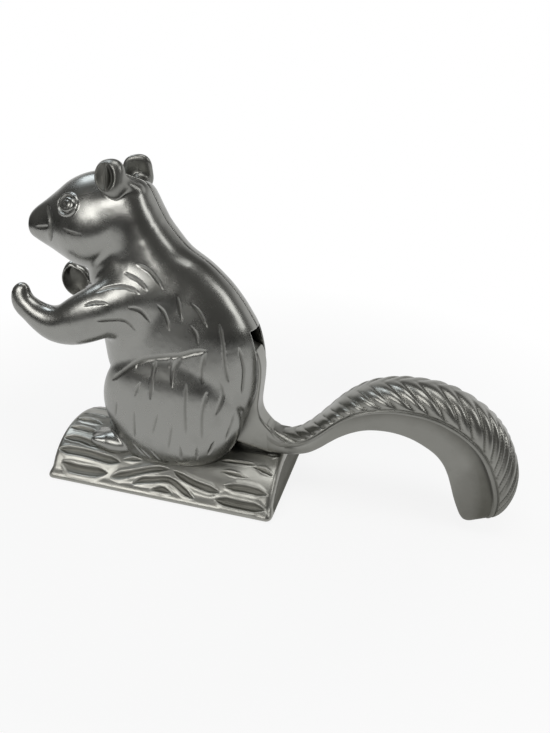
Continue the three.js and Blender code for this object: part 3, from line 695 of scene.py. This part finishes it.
# The lever's plate in the middle plane: the jaw's nose, the strip in the back slot, the bar,
# and the inner edge round the pivot
strip_edge = eased([
    (20.0, 98.0), (46.0, 82.2), (50.2, 80.2), (52.2, 72.9), (52.1, 65.0), (51.0, 56.0),
    (50.3, 49.0), (51.2, 44.0), (53.6, 40.2), (57.0, 36.6), (61.0, 33.2),
], 60)
plate_outline = np.array([
    (-35.5, 106.0), (-12.0, 106.0), *strip_edge, (61.5, 23.4), (57.0, 22.2), (36.0, 26.2),
    (31.0, 31.0), (-20.0, 31.0), (-26.36, 33.64), (-29.0, 40.0), (-26.36, 46.36),
    (-16.5, 64.2), (-12.0, 88.5), (-35.5, 88.5),
], float)
room_x, room_z, room = swept_room(plate_outline)


def lever_room(p):
    """Distance to the slab that the lever's plate needs."""
    i = np.clip((p[:, 0] - room_x[0]) / (room_x[1] - room_x[0]), 0, len(room_x) - 1.001)
    k = np.clip((p[:, 2] - room_z[0]) / (room_z[1] - room_z[0]), 0, len(room_z) - 1.001)
    i0, k0 = i.astype(int), k.astype(int)
    a, b = i - i0, k - k0
    flat = (
        room[i0, k0] * (1 - a) * (1 - b) + room[i0 + 1, k0] * a * (1 - b)
        + room[i0, k0 + 1] * (1 - a) * b + room[i0 + 1, k0 + 1] * a * b
    )
    return np.maximum(flat, np.abs(p[:, 1]) - slot_half_width)


def shell_field(p, far_shell):
    """The left shell; the right one is its mirror image, with the screws' heads in it."""
    x, y, z = p.T
    skin = squirrel_skin(p, far_shell)
    trunk_room = np.maximum(trunk_distance(p) + body_wall,
                            np.maximum(cavity_floor - z, z - cavity_roof))
    haunch_room = np.maximum(egg_distance(haunch_view(p), (34, 10, 32)),
                             np.maximum(cavity_floor - z, y))
    head_room = np.maximum(head_distance(p) + body_wall,
                           np.maximum(nose_x + 0.27 * head_length - x,
                                      x - nose_x - 0.88 * head_length))
    shell = smooth_max(skin, -np.minimum(np.minimum(trunk_room, haunch_room), head_room), 0.8)
    pivot = (pivot_x, pivot_z)
    posts = [bar_distance(p, 1, (x0, z0), screw_post_radius, -60, 0) for x0, z0, _ in body_screws]
    posts += [bar_distance(p, 1, place, dowel_post_radius, -60, 0) for place in dowels]
    posts.append(bar_distance(p, 1, pivot, pivot_boss_radius, -60, pivot_boss_face))
    for post in posts:
        shell = np.minimum(shell, np.maximum(post, skin))
    cuts = [
        arch_distance(p) - log_gap,
        box_distance(p, (-80, -60, -20), (80, 60, 3.8)),
        box_distance(p, *chest_opening),
        box_distance(p, (slot_start_x, -slot_half_width, 0), (92, 8, slot_top)),
        lever_room(p),
        bar_distance(p, 1, pivot, washer_room_radius, pivot_boss_face, 0),
        bar_distance(p, 1, pivot, pivot_hole_radius, pivot_hole_end, 0),
    ]
    for x0, z0, seat in body_screws:
        if far_shell:
            cuts.append(bar_distance(p, 1, (x0, z0), screw_hole_radius, -60, 0))
            cuts.append(bar_distance(p, 1, (x0, z0), screw_head_radius, -60, -seat + 0.3))
        else:
            cuts.append(bar_distance(p, 1, (x0, z0), screw_hole_radius, -8.3, 0))
    for place in dowels:
        cuts.append(bar_distance(p, 1, place, dowel_hole_radius, -7.3, 0))
    for (x0, y0), seat in zip(base_screws, base_screw_seats):
        cuts.append(bar_distance(p, 2, (x0, -y0), base_hole_radius, 0, seat + 12.3))
    removed = cuts[0]
    for cut in cuts[1:]:
        removed = np.minimum(removed, cut)
    return smooth_max(smooth_max(shell, -removed, 0.7), y + seam_half_gap, 0.7)


# Lines carved into the left shell, by half width and depth: the fur strokes, the lines of the
# nose, mouth and cheek, and the crease over the thigh. Each is a row of places (across, up) on
# a view slanted from the front right and above.
carved = {
    (1.0, 0.55): [[(-11.3, 107.4), (-5.5, 103.0), (-0.6, 94.7)]],
    (1.0, 0.6): [
        [(-17.2, 104.4), (-11.3, 99.8), (-7.4, 94.7)],
        [(-33.1, 83.7), (-26.2, 83.5), (-19.5, 82.4), (-14.6, 76.7)],
        [(-17.3, 88.1), (-12.0, 86.2), (-8.0, 80.6)], [(-4.0, 87.9), (-0.9, 82.9), (0.5, 74.9)],
        [(5.3, 91.3), (6.0, 85.3), (6.4, 79.3)], [(11.1, 87.0), (14.7, 82.0), (17.2, 74.9)],
        [(9.7, 77.1), (12.0, 72.6), (12.5, 67.5)], [(0.3, 64.0), (-1.7, 57.9)],
        [(-60.4, 97.8), (-57.1, 95.4), (-51.3, 91.4)],
    ],
    (1.1, 0.7): [
        [(-31.4, 96.6), (-27.1, 98.0), (-22.0, 98.3), (-16.2, 97.2), (-11.1, 93.8)],
        [(-37.6, 91.2), (-31.9, 91.9), (-26.1, 90.8)],
    ],
    (1.2, 0.7): [
        [(22.9, 77.0), (23.8, 66.3), (24.0, 55.8), (25.4, 47.8)],
        [(31.2, 64.1), (33.0, 53.3), (31.6, 40.9)], [(15.8, 63.8), (13.4, 56.4), (12.8, 48.7)],
    ],
    (1.3, 0.8): [[(4.8, 63.1), (0.5, 56.8), (-1.3, 48.1)]],
    (1.3, 0.7): [[(-7.2, 62.9), (-10.2, 52.9), (-12.2, 43.0)]],
    (0.9, 0.5): [
        [(-15.3, 62.7), (-17.2, 58.9)], [(-20.3, 17.1), (-14.5, 8.8)],
        [(-24.1, 20.0), (-17.9, 10.7)], [(-15.2, 16.1), (-10.4, 8.2)],
    ],
    (1.0, 0.5): [
        [(-16.0, 52.4), (-19.8, 45.1)], [(-20.6, 38.3), (-22.7, 22.6)],
        [(-9.2, 36.1), (-13.3, 24.4)], [(-0.2, 18.1), (-0.2, 8.8)], [(8.0, 16.9), (7.7, 8.3)],
        [(-28.6, 43.9), (-31.1, 34.0)], [(-3.1, 29.4), (-6.3, 15.4)],
    ],
    (1.2, 0.6): [
        [(5.4, 49.5), (3.7, 36.7), (3.1, 23.5)], [(14.7, 44.6), (11.5, 33.4), (10.6, 20.1)],
        [(20.8, 49.3), (22.2, 42.2), (17.6, 32.2)],
    ],
    (1.1, 0.5): [[(27.6, 32.8), (22.5, 18.5)]],
    (1.1, 0.6): [[(17.0, 19.3), (13.3, 10.9)]],
    (2.3, 0.8): [[(-49.4, 142.0), (-48.3, 134.0), (-50.4, 125.0)]],
    (0.9, 0.35): [[(-57.6, 133.6), (-54.5, 132.6), (-49.4, 131.4)]],
    (0.8, 0.2): [[(-42.9, 128.3), (-39.3, 125.7), (-33.9, 123.3)]],
    (1.5, 0.5): [
        [(-29.9, 54.3), (-23.2, 58.4), (-14.8, 62.6), (-7.6, 63.4), (-0.7, 63.2), (4.8, 63.1),
         (9.9, 64.0), (16.3, 64.2)],
    ],
}
eye_centre = np.array([-38.8, -12.6, 147.2])
eye_forward = np.array([-0.25, -0.89, 0.38])
eye_half_width = 7.0
eye_half_height = 5.2
slant_turn = math.radians(31)
slant_dip = math.radians(24)


def on_skin(line):
    """Places on the slanted view, carried along its line of sight onto the left shell."""
    across = np.array([math.cos(slant_turn), math.sin(slant_turn), 0])
    level = math.cos(slant_dip)
    inward = np.array([-across[1] * level, across[0] * level, -math.sin(slant_dip)])
    upward = np.cross(across, inward)
    line = np.array(line, float)
    line = eased(line, 5 * len(line)) if len(line) > 2 else np.linspace(*line, 7)
    steps = np.arange(-80, 60, 0.25)
    carried = []
    for a, b in line:
        value = squirrel_skin(a * across + b * upward + steps[:, None] * inward)
        k = np.argmax(value < 0) if (value < 0).any() else np.argmin(value)
        back = 0.25 * value[k - 1] / max(value[k - 1] - value[k], 1e-6)
        carried.append(a * across + b * upward + (steps[k - 1] + back) * inward)
    return np.array(carried)


carved_lines = [(on_skin(line), *size) for size, lines in carved.items() for line in lines]


def eye_relief(p):
    """Height of the eyelid's ring and the eyeball over the cheek, and how deep in shade."""
    forward = eye_forward / np.linalg.norm(eye_forward)
    side = np.cross(forward, (0, 0, 1))
    side /= np.linalg.norm(side)
    q = p - eye_centre
    a, b = q @ side / eye_half_width, q @ np.cross(side, forward) / eye_half_height
    far = np.hypot(a, b) + 0.08 * a * b
    face = np.abs(q @ forward) < 6
    ring = np.exp(-((far - 0.92) / 0.085) ** 2) * 0.8
    groove = np.exp(-((far - 0.76) / 0.07) ** 2)
    ball = np.sqrt(np.clip(1 - (far / 0.72) ** 2, 0, 1)) * 1.1
    iris = np.exp(-((far - 0.40) / 0.05) ** 2) * 0.3 + np.exp(-((far / 0.14) ** 2)) * 0.3
    return (ring - groove * 0.7 + ball - iris) * face, (groove + iris * 1.5) * face


def shell_mesh(far_shell):
    def field(p):
        return shell_field(p, far_shell)

    points, quads = skin_mesh(field, (-76, -30.5, 13), (56, 1.2, 169), body_cell)
    normals = slope_of(field, points)
    normals /= np.linalg.norm(normals, axis=1)[:, None]
    skin = squirrel_skin(points, far_shell)
    open_side = (np.abs(skin) < 0.9) & (points[:, 1] < -0.6)
    cut, lower = np.zeros((2, len(points)))
    for line, half_width, deep in carved_lines:
        low, high = line.min(0) - 4, line.max(0) + 4
        near = np.nonzero(open_side & ((points > low) & (points < high)).all(1))[0]
        share = line_share(points[near], line, half_width * 0.9)
        # The cut mark along each stroke paints its bottom darker, as painted shade
        cut[near] = np.maximum(cut[near], share)
        lower[near] = np.maximum(lower[near], deep * 0.8 * (1 - (1 - share) ** 1.6))
    raised, shade = eye_relief(points)
    lower -= raised * open_side
    # The eye's groove and iris are painted darker through the cut mark, as painted shade
    cut = np.maximum(cut, shade * open_side)
    points = points - normals * lower[:, None]
    raw = (np.abs(skin) > 1.5) * 1.0
    cupped = near_box(points, hand_cup, *hand_box) < 0.2
    if far_shell:
        cupped |= near_box(points, far_palm, *far_hand_box) < 0.3
    raw = np.maximum(raw, cupped * 0.8)
    on_ear = near_box(points, ear_distance, *ear_box)
    raw = np.maximum(raw, np.clip(1 - on_ear, 0, 1) * 0.3)
    in_ear = near_box(points, ear_mouth, *ear_box) < 0.3
    raw = np.maximum(raw, in_ear * 0.75)
    if far_shell:
        points = points * (1, -1, 1)
        quads = quads[:, ::-1]
    # "deep" marks the inside, which is painted near black as shade
    return points, quads, {"cut": cut, "raw": raw, "deep": np.clip((-skin - 1.2) / 2.5, 0, 1)}


polished = cast_metal(
    "polished_aluminium", (0.28, 0.28, 0.264, 1), (0.095, 0.094, 0.080, 1), 0.24, 0.45
)
for name, node, far_shell in (("left_shell", "body_left_half", False),
                              ("right_shell", "body_right_half", True)):
    points, quads, marks = shell_mesh(far_shell)
    shell = grounded(points, quads, name, marks, "frame", node)
    shell.data.materials.append(polished)

# Tail lever: one aluminium casting. The inner plate turns on the pin and carries the jaw, a
# strip of it fills the back slot, and the bar behind ends in the curled tail, whose cap is
# ribbed with fur and whose web is plain.
lever_half_thickness = 5.42
tail_root_x = 54.0
tail_length = 124.0
tail_rise = 76.0
cap_half_width = 12.5
web_half_width = 4.2
crown_drop = 1.6
rim_thick = 2.8
cap_share = 0.33
end_round = 15.0
tip_run = 50.0
tip_blend = 42.0
rivet_z = 97.25
rivet_hole_radius = 2.5
jaw_seat = (-34.7, -6.7, 89.3), (-24.6, 6.7, 105.2)
plate_cell = 0.62

# At each station: crown and web edge as shares of the tail's length and rise, then the
# widths of the cap and the web as shares of their full size
tail_stations = eased([
    [-0.05, 0.45, -0.04, 0.35, 0.415, 1.24], [-0.025, 0.49, -0.015, 0.315, 0.42, 1.25],
    [0.0, 0.524, 0.008, 0.297, 0.43, 1.28], [0.024, 0.496, 0.032, 0.293, 0.45, 1.34],
    [0.06, 0.474, 0.066, 0.293, 0.47, 1.36], [0.102, 0.483, 0.106, 0.3, 0.5, 1.3],
    [0.146, 0.52, 0.15, 0.316, 0.58, 1.3], [0.196, 0.59, 0.19, 0.34, 0.68, 1.25],
    [0.248, 0.683, 0.232, 0.385, 0.79, 1.15], [0.306, 0.788, 0.272, 0.44, 0.88, 1.05],
    [0.366, 0.872, 0.312, 0.492, 0.94, 1.0], [0.42, 0.925, 0.362, 0.542, 0.98, 1.0],
    [0.478, 0.957, 0.414, 0.576, 1.0, 1.0], [0.54, 0.978, 0.47, 0.59, 1.0, 1.0],
    [0.602, 0.982, 0.528, 0.588, 1.0, 1.0], [0.674, 0.976, 0.588, 0.566, 1.0, 1.0],
    [0.75, 0.944, 0.642, 0.526, 1.0, 1.0], [0.826, 0.882, 0.69, 0.474, 1.0, 1.0],
    [0.89, 0.806, 0.724, 0.41, 1.0, 1.0], [0.941, 0.712, 0.746, 0.342, 1.0, 1.0],
    [0.978, 0.602, 0.764, 0.27, 1.0, 1.0], [1.003, 0.497, 0.78, 0.205, 1.0, 1.0],
    [1.014, 0.398, 0.797, 0.15, 1.0, 1.05], [1.009, 0.29, 0.816, 0.102, 0.97, 1.2],
    [0.986, 0.185, 0.842, 0.07, 0.88, 1.5], [0.946, 0.1, 0.88, 0.056, 0.66, 1.5],
], 760) * [tail_length, tail_rise, tail_length, tail_rise, cap_half_width, web_half_width]
tail_stations[:, [0, 2]] += tail_root_x


def tail_section(depth, cap, web, power, drop, rim):
    """Half of a section, from crown to web edge: how far down, how far aside, how far over
    the cap, from 0 at the crown to 1 at the rim, and how much painted shade darkens the
    groove over the rim and the hollow under it."""
    deep = depth - drop
    arc = np.linspace(0, 1, 22)
    down = [drop + cap_share * deep * (1 - math.cos(math.pi / 2 * t)) for t in arc]
    side = [cap * math.sin(math.pi / 2 * t) ** power for t in arc]
    over = list(arc)
    shaded = [0.0] * len(arc)
    edge = drop + cap_share * deep
    step = max(cap - web, 0.0)
    # Painted shade in the groove between the ribs and the rim
    shaded[-1] = 0.8
    bead = [(0.2, 0.5), (0.45, 0.1), (0.8, -0.25), (1.3, -0.45), (1.8, -0.35), (2.2, 0.0),
            (2.45, 0.5)]
    for rise, inward in bead:
        down.append(edge + rise * rim_thick / 2.5)
        side.append(cap - inward * rim)
        over.append(1.0)
        shaded.append(0.8 if rise < 0.3 else 0.0)
    bottom = edge + rim_thick
    # Third column: painted shade, fading down the hollow under the rim
    fillet = [(0.1, 0.12, 1), (0.5, 0.36, 1), (1.1, 0.55, 1), (2.2, 0.74, 1), (3.8, 0.88, 1),
              (5.0, 0.935, 0.9), (6.2, 0.965, 0.6), (8.0, 0.985, 0.25), (10.0, 1.0, 0.0)]
    room = depth - 2.6 - bottom
    for rise, under, painted_shade in fillet:
        down.append(bottom + min(rise, room * rise / 10.5))
        side.append(cap - 0.3 - (step - 0.3) * under if step > 0.5 else web)
        over.append(1.0)
        shaded.append(painted_shade)
    for t in np.linspace(0, 1, 8)[1:]:
        down.append(depth - 2.2 * (1 - math.sin(math.pi / 2 * t)))
        side.append(web - 2.2 + 2.2 * math.cos(math.pi / 2 * t) if t < 1 else max(web - 2.6, 0))
        over.append(1.0)
        shaded.append(0.0)
    down.append(depth)
    side.append(0.0)
    over.append(1.0)
    shaded.append(0.0)
    return down, side, over, shaded


# Where the ribs meet the rim, along the tail
rib_places = [
    -2.0, 3.0, 8.0, 13.2, 18.6, 26.5, 33.2, 41.6, 49.7, 56.3, 62.9, 69.3, 75.9, 83.4, 91.5, 98.4,
    106.7, 115.7, 123.1, 132.6, 140.1, 146.2, 150.6, 156.6, 160.7, 168.5, 173.5, 178.5, 183.5,
    188.5, 193.5, 199.0, 205.0, 212.0,
]


def rib_relief(run, over, slant):
    """Height of the fur's ribs and shade of the creases between them: run is the way along the
    tail, over the way down the cap, and slant how far a rib trails from the crown to the rim."""
    at_rim = run + slant * (1 - over)
    number = np.interp(at_rim, rib_places, np.arange(len(rib_places)))
    place = number - np.floor(number)
    bulge = 1 - np.abs(np.where(place < 0.6, place / 0.6 - 1, (place - 0.6) / 0.4)) ** 2.2
    tall = np.interp(at_rim, [0, 20, 60, 110, 170, 200], [0.6, 1.0, 1.3, 1.5, 1.3, 0.7])
    reach = np.clip((0.985 - over) / 0.04, 0, 1) * np.clip(over / 0.3, 0.2, 1)
    away = np.clip((at_rim - 7) / 6, 0, 1) * np.clip((200 - at_rim) / 6, 0, 1)
    crease = np.clip(1 - bulge / 0.45, 0, 1)
    return (bulge - 0.8) * tall * reach * away, crease * reach * away


crown_run = np.concatenate([
    [0], np.cumsum(np.linalg.norm(np.diff(tail_stations[:, :2], axis=0), axis=1))])
crown_run -= crown_run[np.argmax(tail_stations[:, 0] >= tail_root_x)]
rings, painted_shade_marks, raw_marks = [], [], []
for (cx, cz, wx, wz, cap, web), run in zip(tail_stations, crown_run):
    to_tip = np.clip((run - crown_run[-1] + tip_run) / tip_blend, 0, 1)
    web += max(cap - 0.3 - web, 0) * to_tip**2 * (3 - 2 * to_tip)
    depth = math.hypot(wx - cx, wz - cz)
    ux, uz = (wx - cx) / depth, (wz - cz) / depth
    power = np.interp(run, [2, 8, 16, 60], [0.22, 0.3, 0.7, 0.94])
    drop = np.interp(run, [2, 20], [0.6, crown_drop])
    rim = np.interp(run, [8, 40], [0, 1])
    down, side, over, shaded = (
        np.array(values) for values in tail_section(depth, cap, web, power, drop, rim))
    tangent = np.stack([np.gradient(down), np.gradient(side)], 1)
    out = np.stack([-tangent[:, 1], tangent[:, 0]], 1)
    out /= np.linalg.norm(out, axis=1)[:, None]
    lift, shade = rib_relief(run, over, 1.56 * cap)
    down, side = down + out[:, 0] * lift, side + out[:, 1] * lift
    beyond = max(0, (run - crown_run[-1]) / end_round + 1)
    size = math.sqrt(max(1 - beyond**2, 0.002))
    down = depth / 2 + (np.concatenate([down, down[-2:0:-1]]) - depth / 2) * size
    side = np.concatenate([side, -side[-2:0:-1]]) * size
    rings.append(np.stack([cx + ux * down, side, cz + uz * down], 1))
    shade = np.maximum(shade, shaded * np.clip((run - 30) / 40, 0, 1) * 0.8)
    plain = (over >= 1) * 0.2 * (1 - shaded) + 0.45 * to_tip
    # The tail's cut mark is painted shade: the ribs' creases, the rim's groove and the hollow under
    # it
    painted_shade_marks.append(np.concatenate([shade, shade[-2:0:-1]]))
    raw_marks.append(np.concatenate([plain, plain[-2:0:-1]]))
around = len(rings[0])
tail_points = np.concatenate([*rings, [rings[0].mean(0)], [rings[-1].mean(0)]])
tail_faces = []
for r in range(len(rings) - 1):
    for k in range(around):
        a, b = r * around + k, r * around + (k + 1) % around
        tail_faces.append((a, b, b + around, a + around))
first_middle = len(rings) * around
last = first_middle - around
for k in range(around):
    b = (k + 1) % around
    tail_faces.append((first_middle, b, k))
    tail_faces.append((first_middle + 1, last + k, last + b))


def plate_field(p):
    flat = outline_distance(p[:, [0, 2]], plate_outline)
    plate = smooth_max(flat, np.abs(p[:, 1]) - lever_half_thickness, 1.6)
    nose = box_distance(p, *jaw_seat) - 0.8
    plate = smooth_min(plate, nose, 0.6)
    pin = bar_distance(p, 1, (pivot_x, pivot_z), pivot_hole_radius, -20, 20)
    rivet = bar_distance(p, 0, (0, rivet_z), rivet_hole_radius, -45, -26.5)
    return smooth_max(plate, -np.minimum(pin, rivet), 0.4)


plate_points, plate_quads = skin_mesh(plate_field, (-37.5, -9, 20), (64, 9, 108), plate_cell)
tail_object = bare_object("tail_lever_casting", tail_points, tail_faces)
plate_object = bare_object("lever_plate", plate_points, plate_quads.tolist())
union = tail_object.modifiers.new("joined", "BOOLEAN")
union.operation = "UNION"
union.solver = "MANIFOLD"
union.object = plate_object
shaped = bpy.data.meshes.new_from_object(
    tail_object.evaluated_get(bpy.context.evaluated_depsgraph_get()))
tail_object.modifiers.clear()
tail_object.data = shaped
bpy.data.objects.remove(plate_object)
shaped.shade_smooth()
marked = KDTree(len(tail_points))
for index, point in enumerate(tail_points / 1000):
    marked.insert(point, index)
marked.balance()
found = [marked.find(vertex.co)[1:] for vertex in shaped.vertices]
for mark, rows in (("cut", painted_shade_marks), ("raw", raw_marks)):
    values = np.concatenate([*rows, [0, 0]])
    set_marks(shaped, {mark: [values[index] if far < 1e-6 else 0.0 for index, far in found]})
shaped.materials.clear()
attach(tail_object, "lever")
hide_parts("tail_lever")
shaped.materials.append(
    cast_metal("tail_aluminium", (0.28, 0.279, 0.258, 1), (0.085, 0.083, 0.068, 1), 0.30, 0.7)
)


# Steel: the jaw plate and its rivet, the pin with its washers, and the screws and dowels.
# They keep the shapes of the solids.
def turned_steel(name, colour, rough, lines):
    material, w = new_material(name)
    at = w.node("ShaderNodeTexCoord", out="Object")
    hairline = noise(w, stretched(w, at, lines), 1.0, 4.0, 0.65)
    cloud = noise(w, at, 180.0, 4.0, 0.6)
    shade = cloud.between(0.4, 0.75) * 0.5
    colour = shade.mixed(colour, tuple(c * 0.62 for c in colour[:3]) + (1,))
    surface = (rough + (hairline - 0.5) * 0.22 + cloud.between(0.3, 0.8) * 0.1).held(0.08, 0.9)
    bump = w.node(
        "ShaderNodeBump", inputs={"Strength": 0.4, "Distance": 0.0001, "Height": hairline}
    )
    metal_surface(w, colour, surface, bump)
    return material


jaw_finish = turned_steel("brushed_jaw_steel", (0.54, 0.54, 0.55, 1), 0.34, (60.0, 2200.0, 60.0))
bright_finish = turned_steel("zinc_plated_steel", (0.60, 0.60, 0.61, 1), 0.28, (900.0, 900.0, 60.0))
for name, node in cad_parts.items():
    if not node.hide_render:
        node.data.materials.clear()
        node.data.materials.append(jaw_finish if name.startswith("jaw") else bright_finish)
        node.data.shade_smooth()
        node.data.set_sharp_from_angle(angle=math.radians(28))

# Table and studio: a white sheet under the nutcracker with a white backdrop behind it, a grey
# room in front with large soft lights, and the camera a little above, on the tail side.
table_sheet = bare_object(
    "table_sheet",
    [(-1200, -500, 0), (1200, -500, 0), (1200, 2000, 0), (-1200, 2000, 0)], [(0, 1, 2, 3)],
)
table_sheet.location.z = -0.0002
sheet_material, w = new_material("white_sheet")
matt = w.node("ShaderNodeBsdfDiffuse", inputs={"Color": (0.8, 0.8, 0.8, 1)})
white = w.node("ShaderNodeEmission", inputs={"Color": (1, 1, 1, 1), "Strength": 1.0})


def seen_rays(w):
    """Rays that see the white: straight from the camera, off a gloss, and through glass."""
    kinds = ("Is Camera Ray", "Is Glossy Ray", "Is Transmission Ray")
    return [w.node("ShaderNodeLightPath", out=kind) for kind in kinds]


at = w.node("ShaderNodeTexCoord", out="Object")
away = w.node("ShaderNodeVectorMath", {"operation": "LENGTH"}, {0: at}, "Value")
share = 0.86 + away.between(0.14, 0.34) * 0.14
white_share = sum(seen_rays(w), 0.0) * share
mixed = w.node("ShaderNodeMixShader", inputs={0: white_share, 1: matt, 2: white})
w.node("ShaderNodeOutputMaterial", inputs={"Surface": mixed})
table_sheet.data.materials.append(sheet_material)

world = bpy.data.worlds.new("studio")
bpy.context.scene.world = world
world.use_nodes = True
world.node_tree.nodes.clear()
w = Wire(world.node_tree)
straight, off_gloss, through_glass = seen_rays(w)
facing = w.node("ShaderNodeTexCoord", out="Generated")
back, up = (w.node("ShaderNodeSeparateXYZ", inputs={0: facing}, out=axis) for axis in "YZ")
behind = back.between(0.25, 0.6) * (1 - up.between(0.35, 0.7))
near_level = (1 - up.between(0.02, 0.2)) * (1 - behind)
room_light, low_light, backdrop = (
    w.node("ShaderNodeBackground", inputs={"Color": colour, "Strength": strength})
    for colour, strength in (
        ((0.98, 0.97, 0.93, 1), 0.14), ((0.9, 0.9, 0.86, 1), 0.04), ((1, 1, 1, 1), 1.0))
)
room = w.node("ShaderNodeMixShader", inputs={0: near_level, 1: room_light, 2: low_light})
white_share = (straight + (off_gloss + through_glass) * behind).held()
mixed = w.node("ShaderNodeMixShader", inputs={0: white_share, 1: room, 2: backdrop})
w.node("ShaderNodeOutputWorld", inputs={"Surface": mixed})
aim_x, aim_z = 0.03, 0.08


def soft_light(name, azimuth, elevation, far, size, power, colour=(1, 1, 1)):
    """A large lamp that faces the nutcracker; azimuth 0 is the front, 90 the tail's side."""
    lamp = bpy.data.lights.new(name, "AREA")
    lamp.shape = "RECTANGLE"
    lamp.size, lamp.size_y = size
    lamp.energy = power
    lamp.color = colour
    made = bpy.data.objects.new(name, lamp)
    bpy.context.scene.collection.objects.link(made)
    a, e = math.radians(azimuth), math.radians(elevation)
    made.location = (
        aim_x + far * math.sin(a) * math.cos(e), -far * math.cos(a) * math.cos(e),
        aim_z + far * math.sin(e),
    )
    made.rotation_euler = (math.pi / 2 - e, 0, a)


soft_light("front_window", -27, 23, 1.1, (0.72, 0.32), 3.4, (1.0, 0.99, 0.98))
soft_light("ceiling_light", 10, 80, 1.2, (0.8, 0.6), 4.6)
soft_light("tail_side_window", 78, 34, 1.1, (0.35, 0.6), 2.0)
soft_light("head_side_window", -95, 50, 1.1, (0.4, 0.4), 2.0, (0.86, 0.93, 1.0))

camera_data = bpy.data.cameras.new("camera")
camera_data.lens = 26.27
camera_data.sensor_width = 36
camera_data.clip_start = 0.01
camera = bpy.data.objects.new("camera", camera_data)
bpy.context.scene.collection.objects.link(camera)
camera.location = (0.1249, -0.2287, 0.1895)
camera.rotation_euler = (math.radians(63.6), 0, math.radians(16.3))
bpy.context.scene.camera = camera
bpy.context.scene.view_settings.view_transform = "Standard"
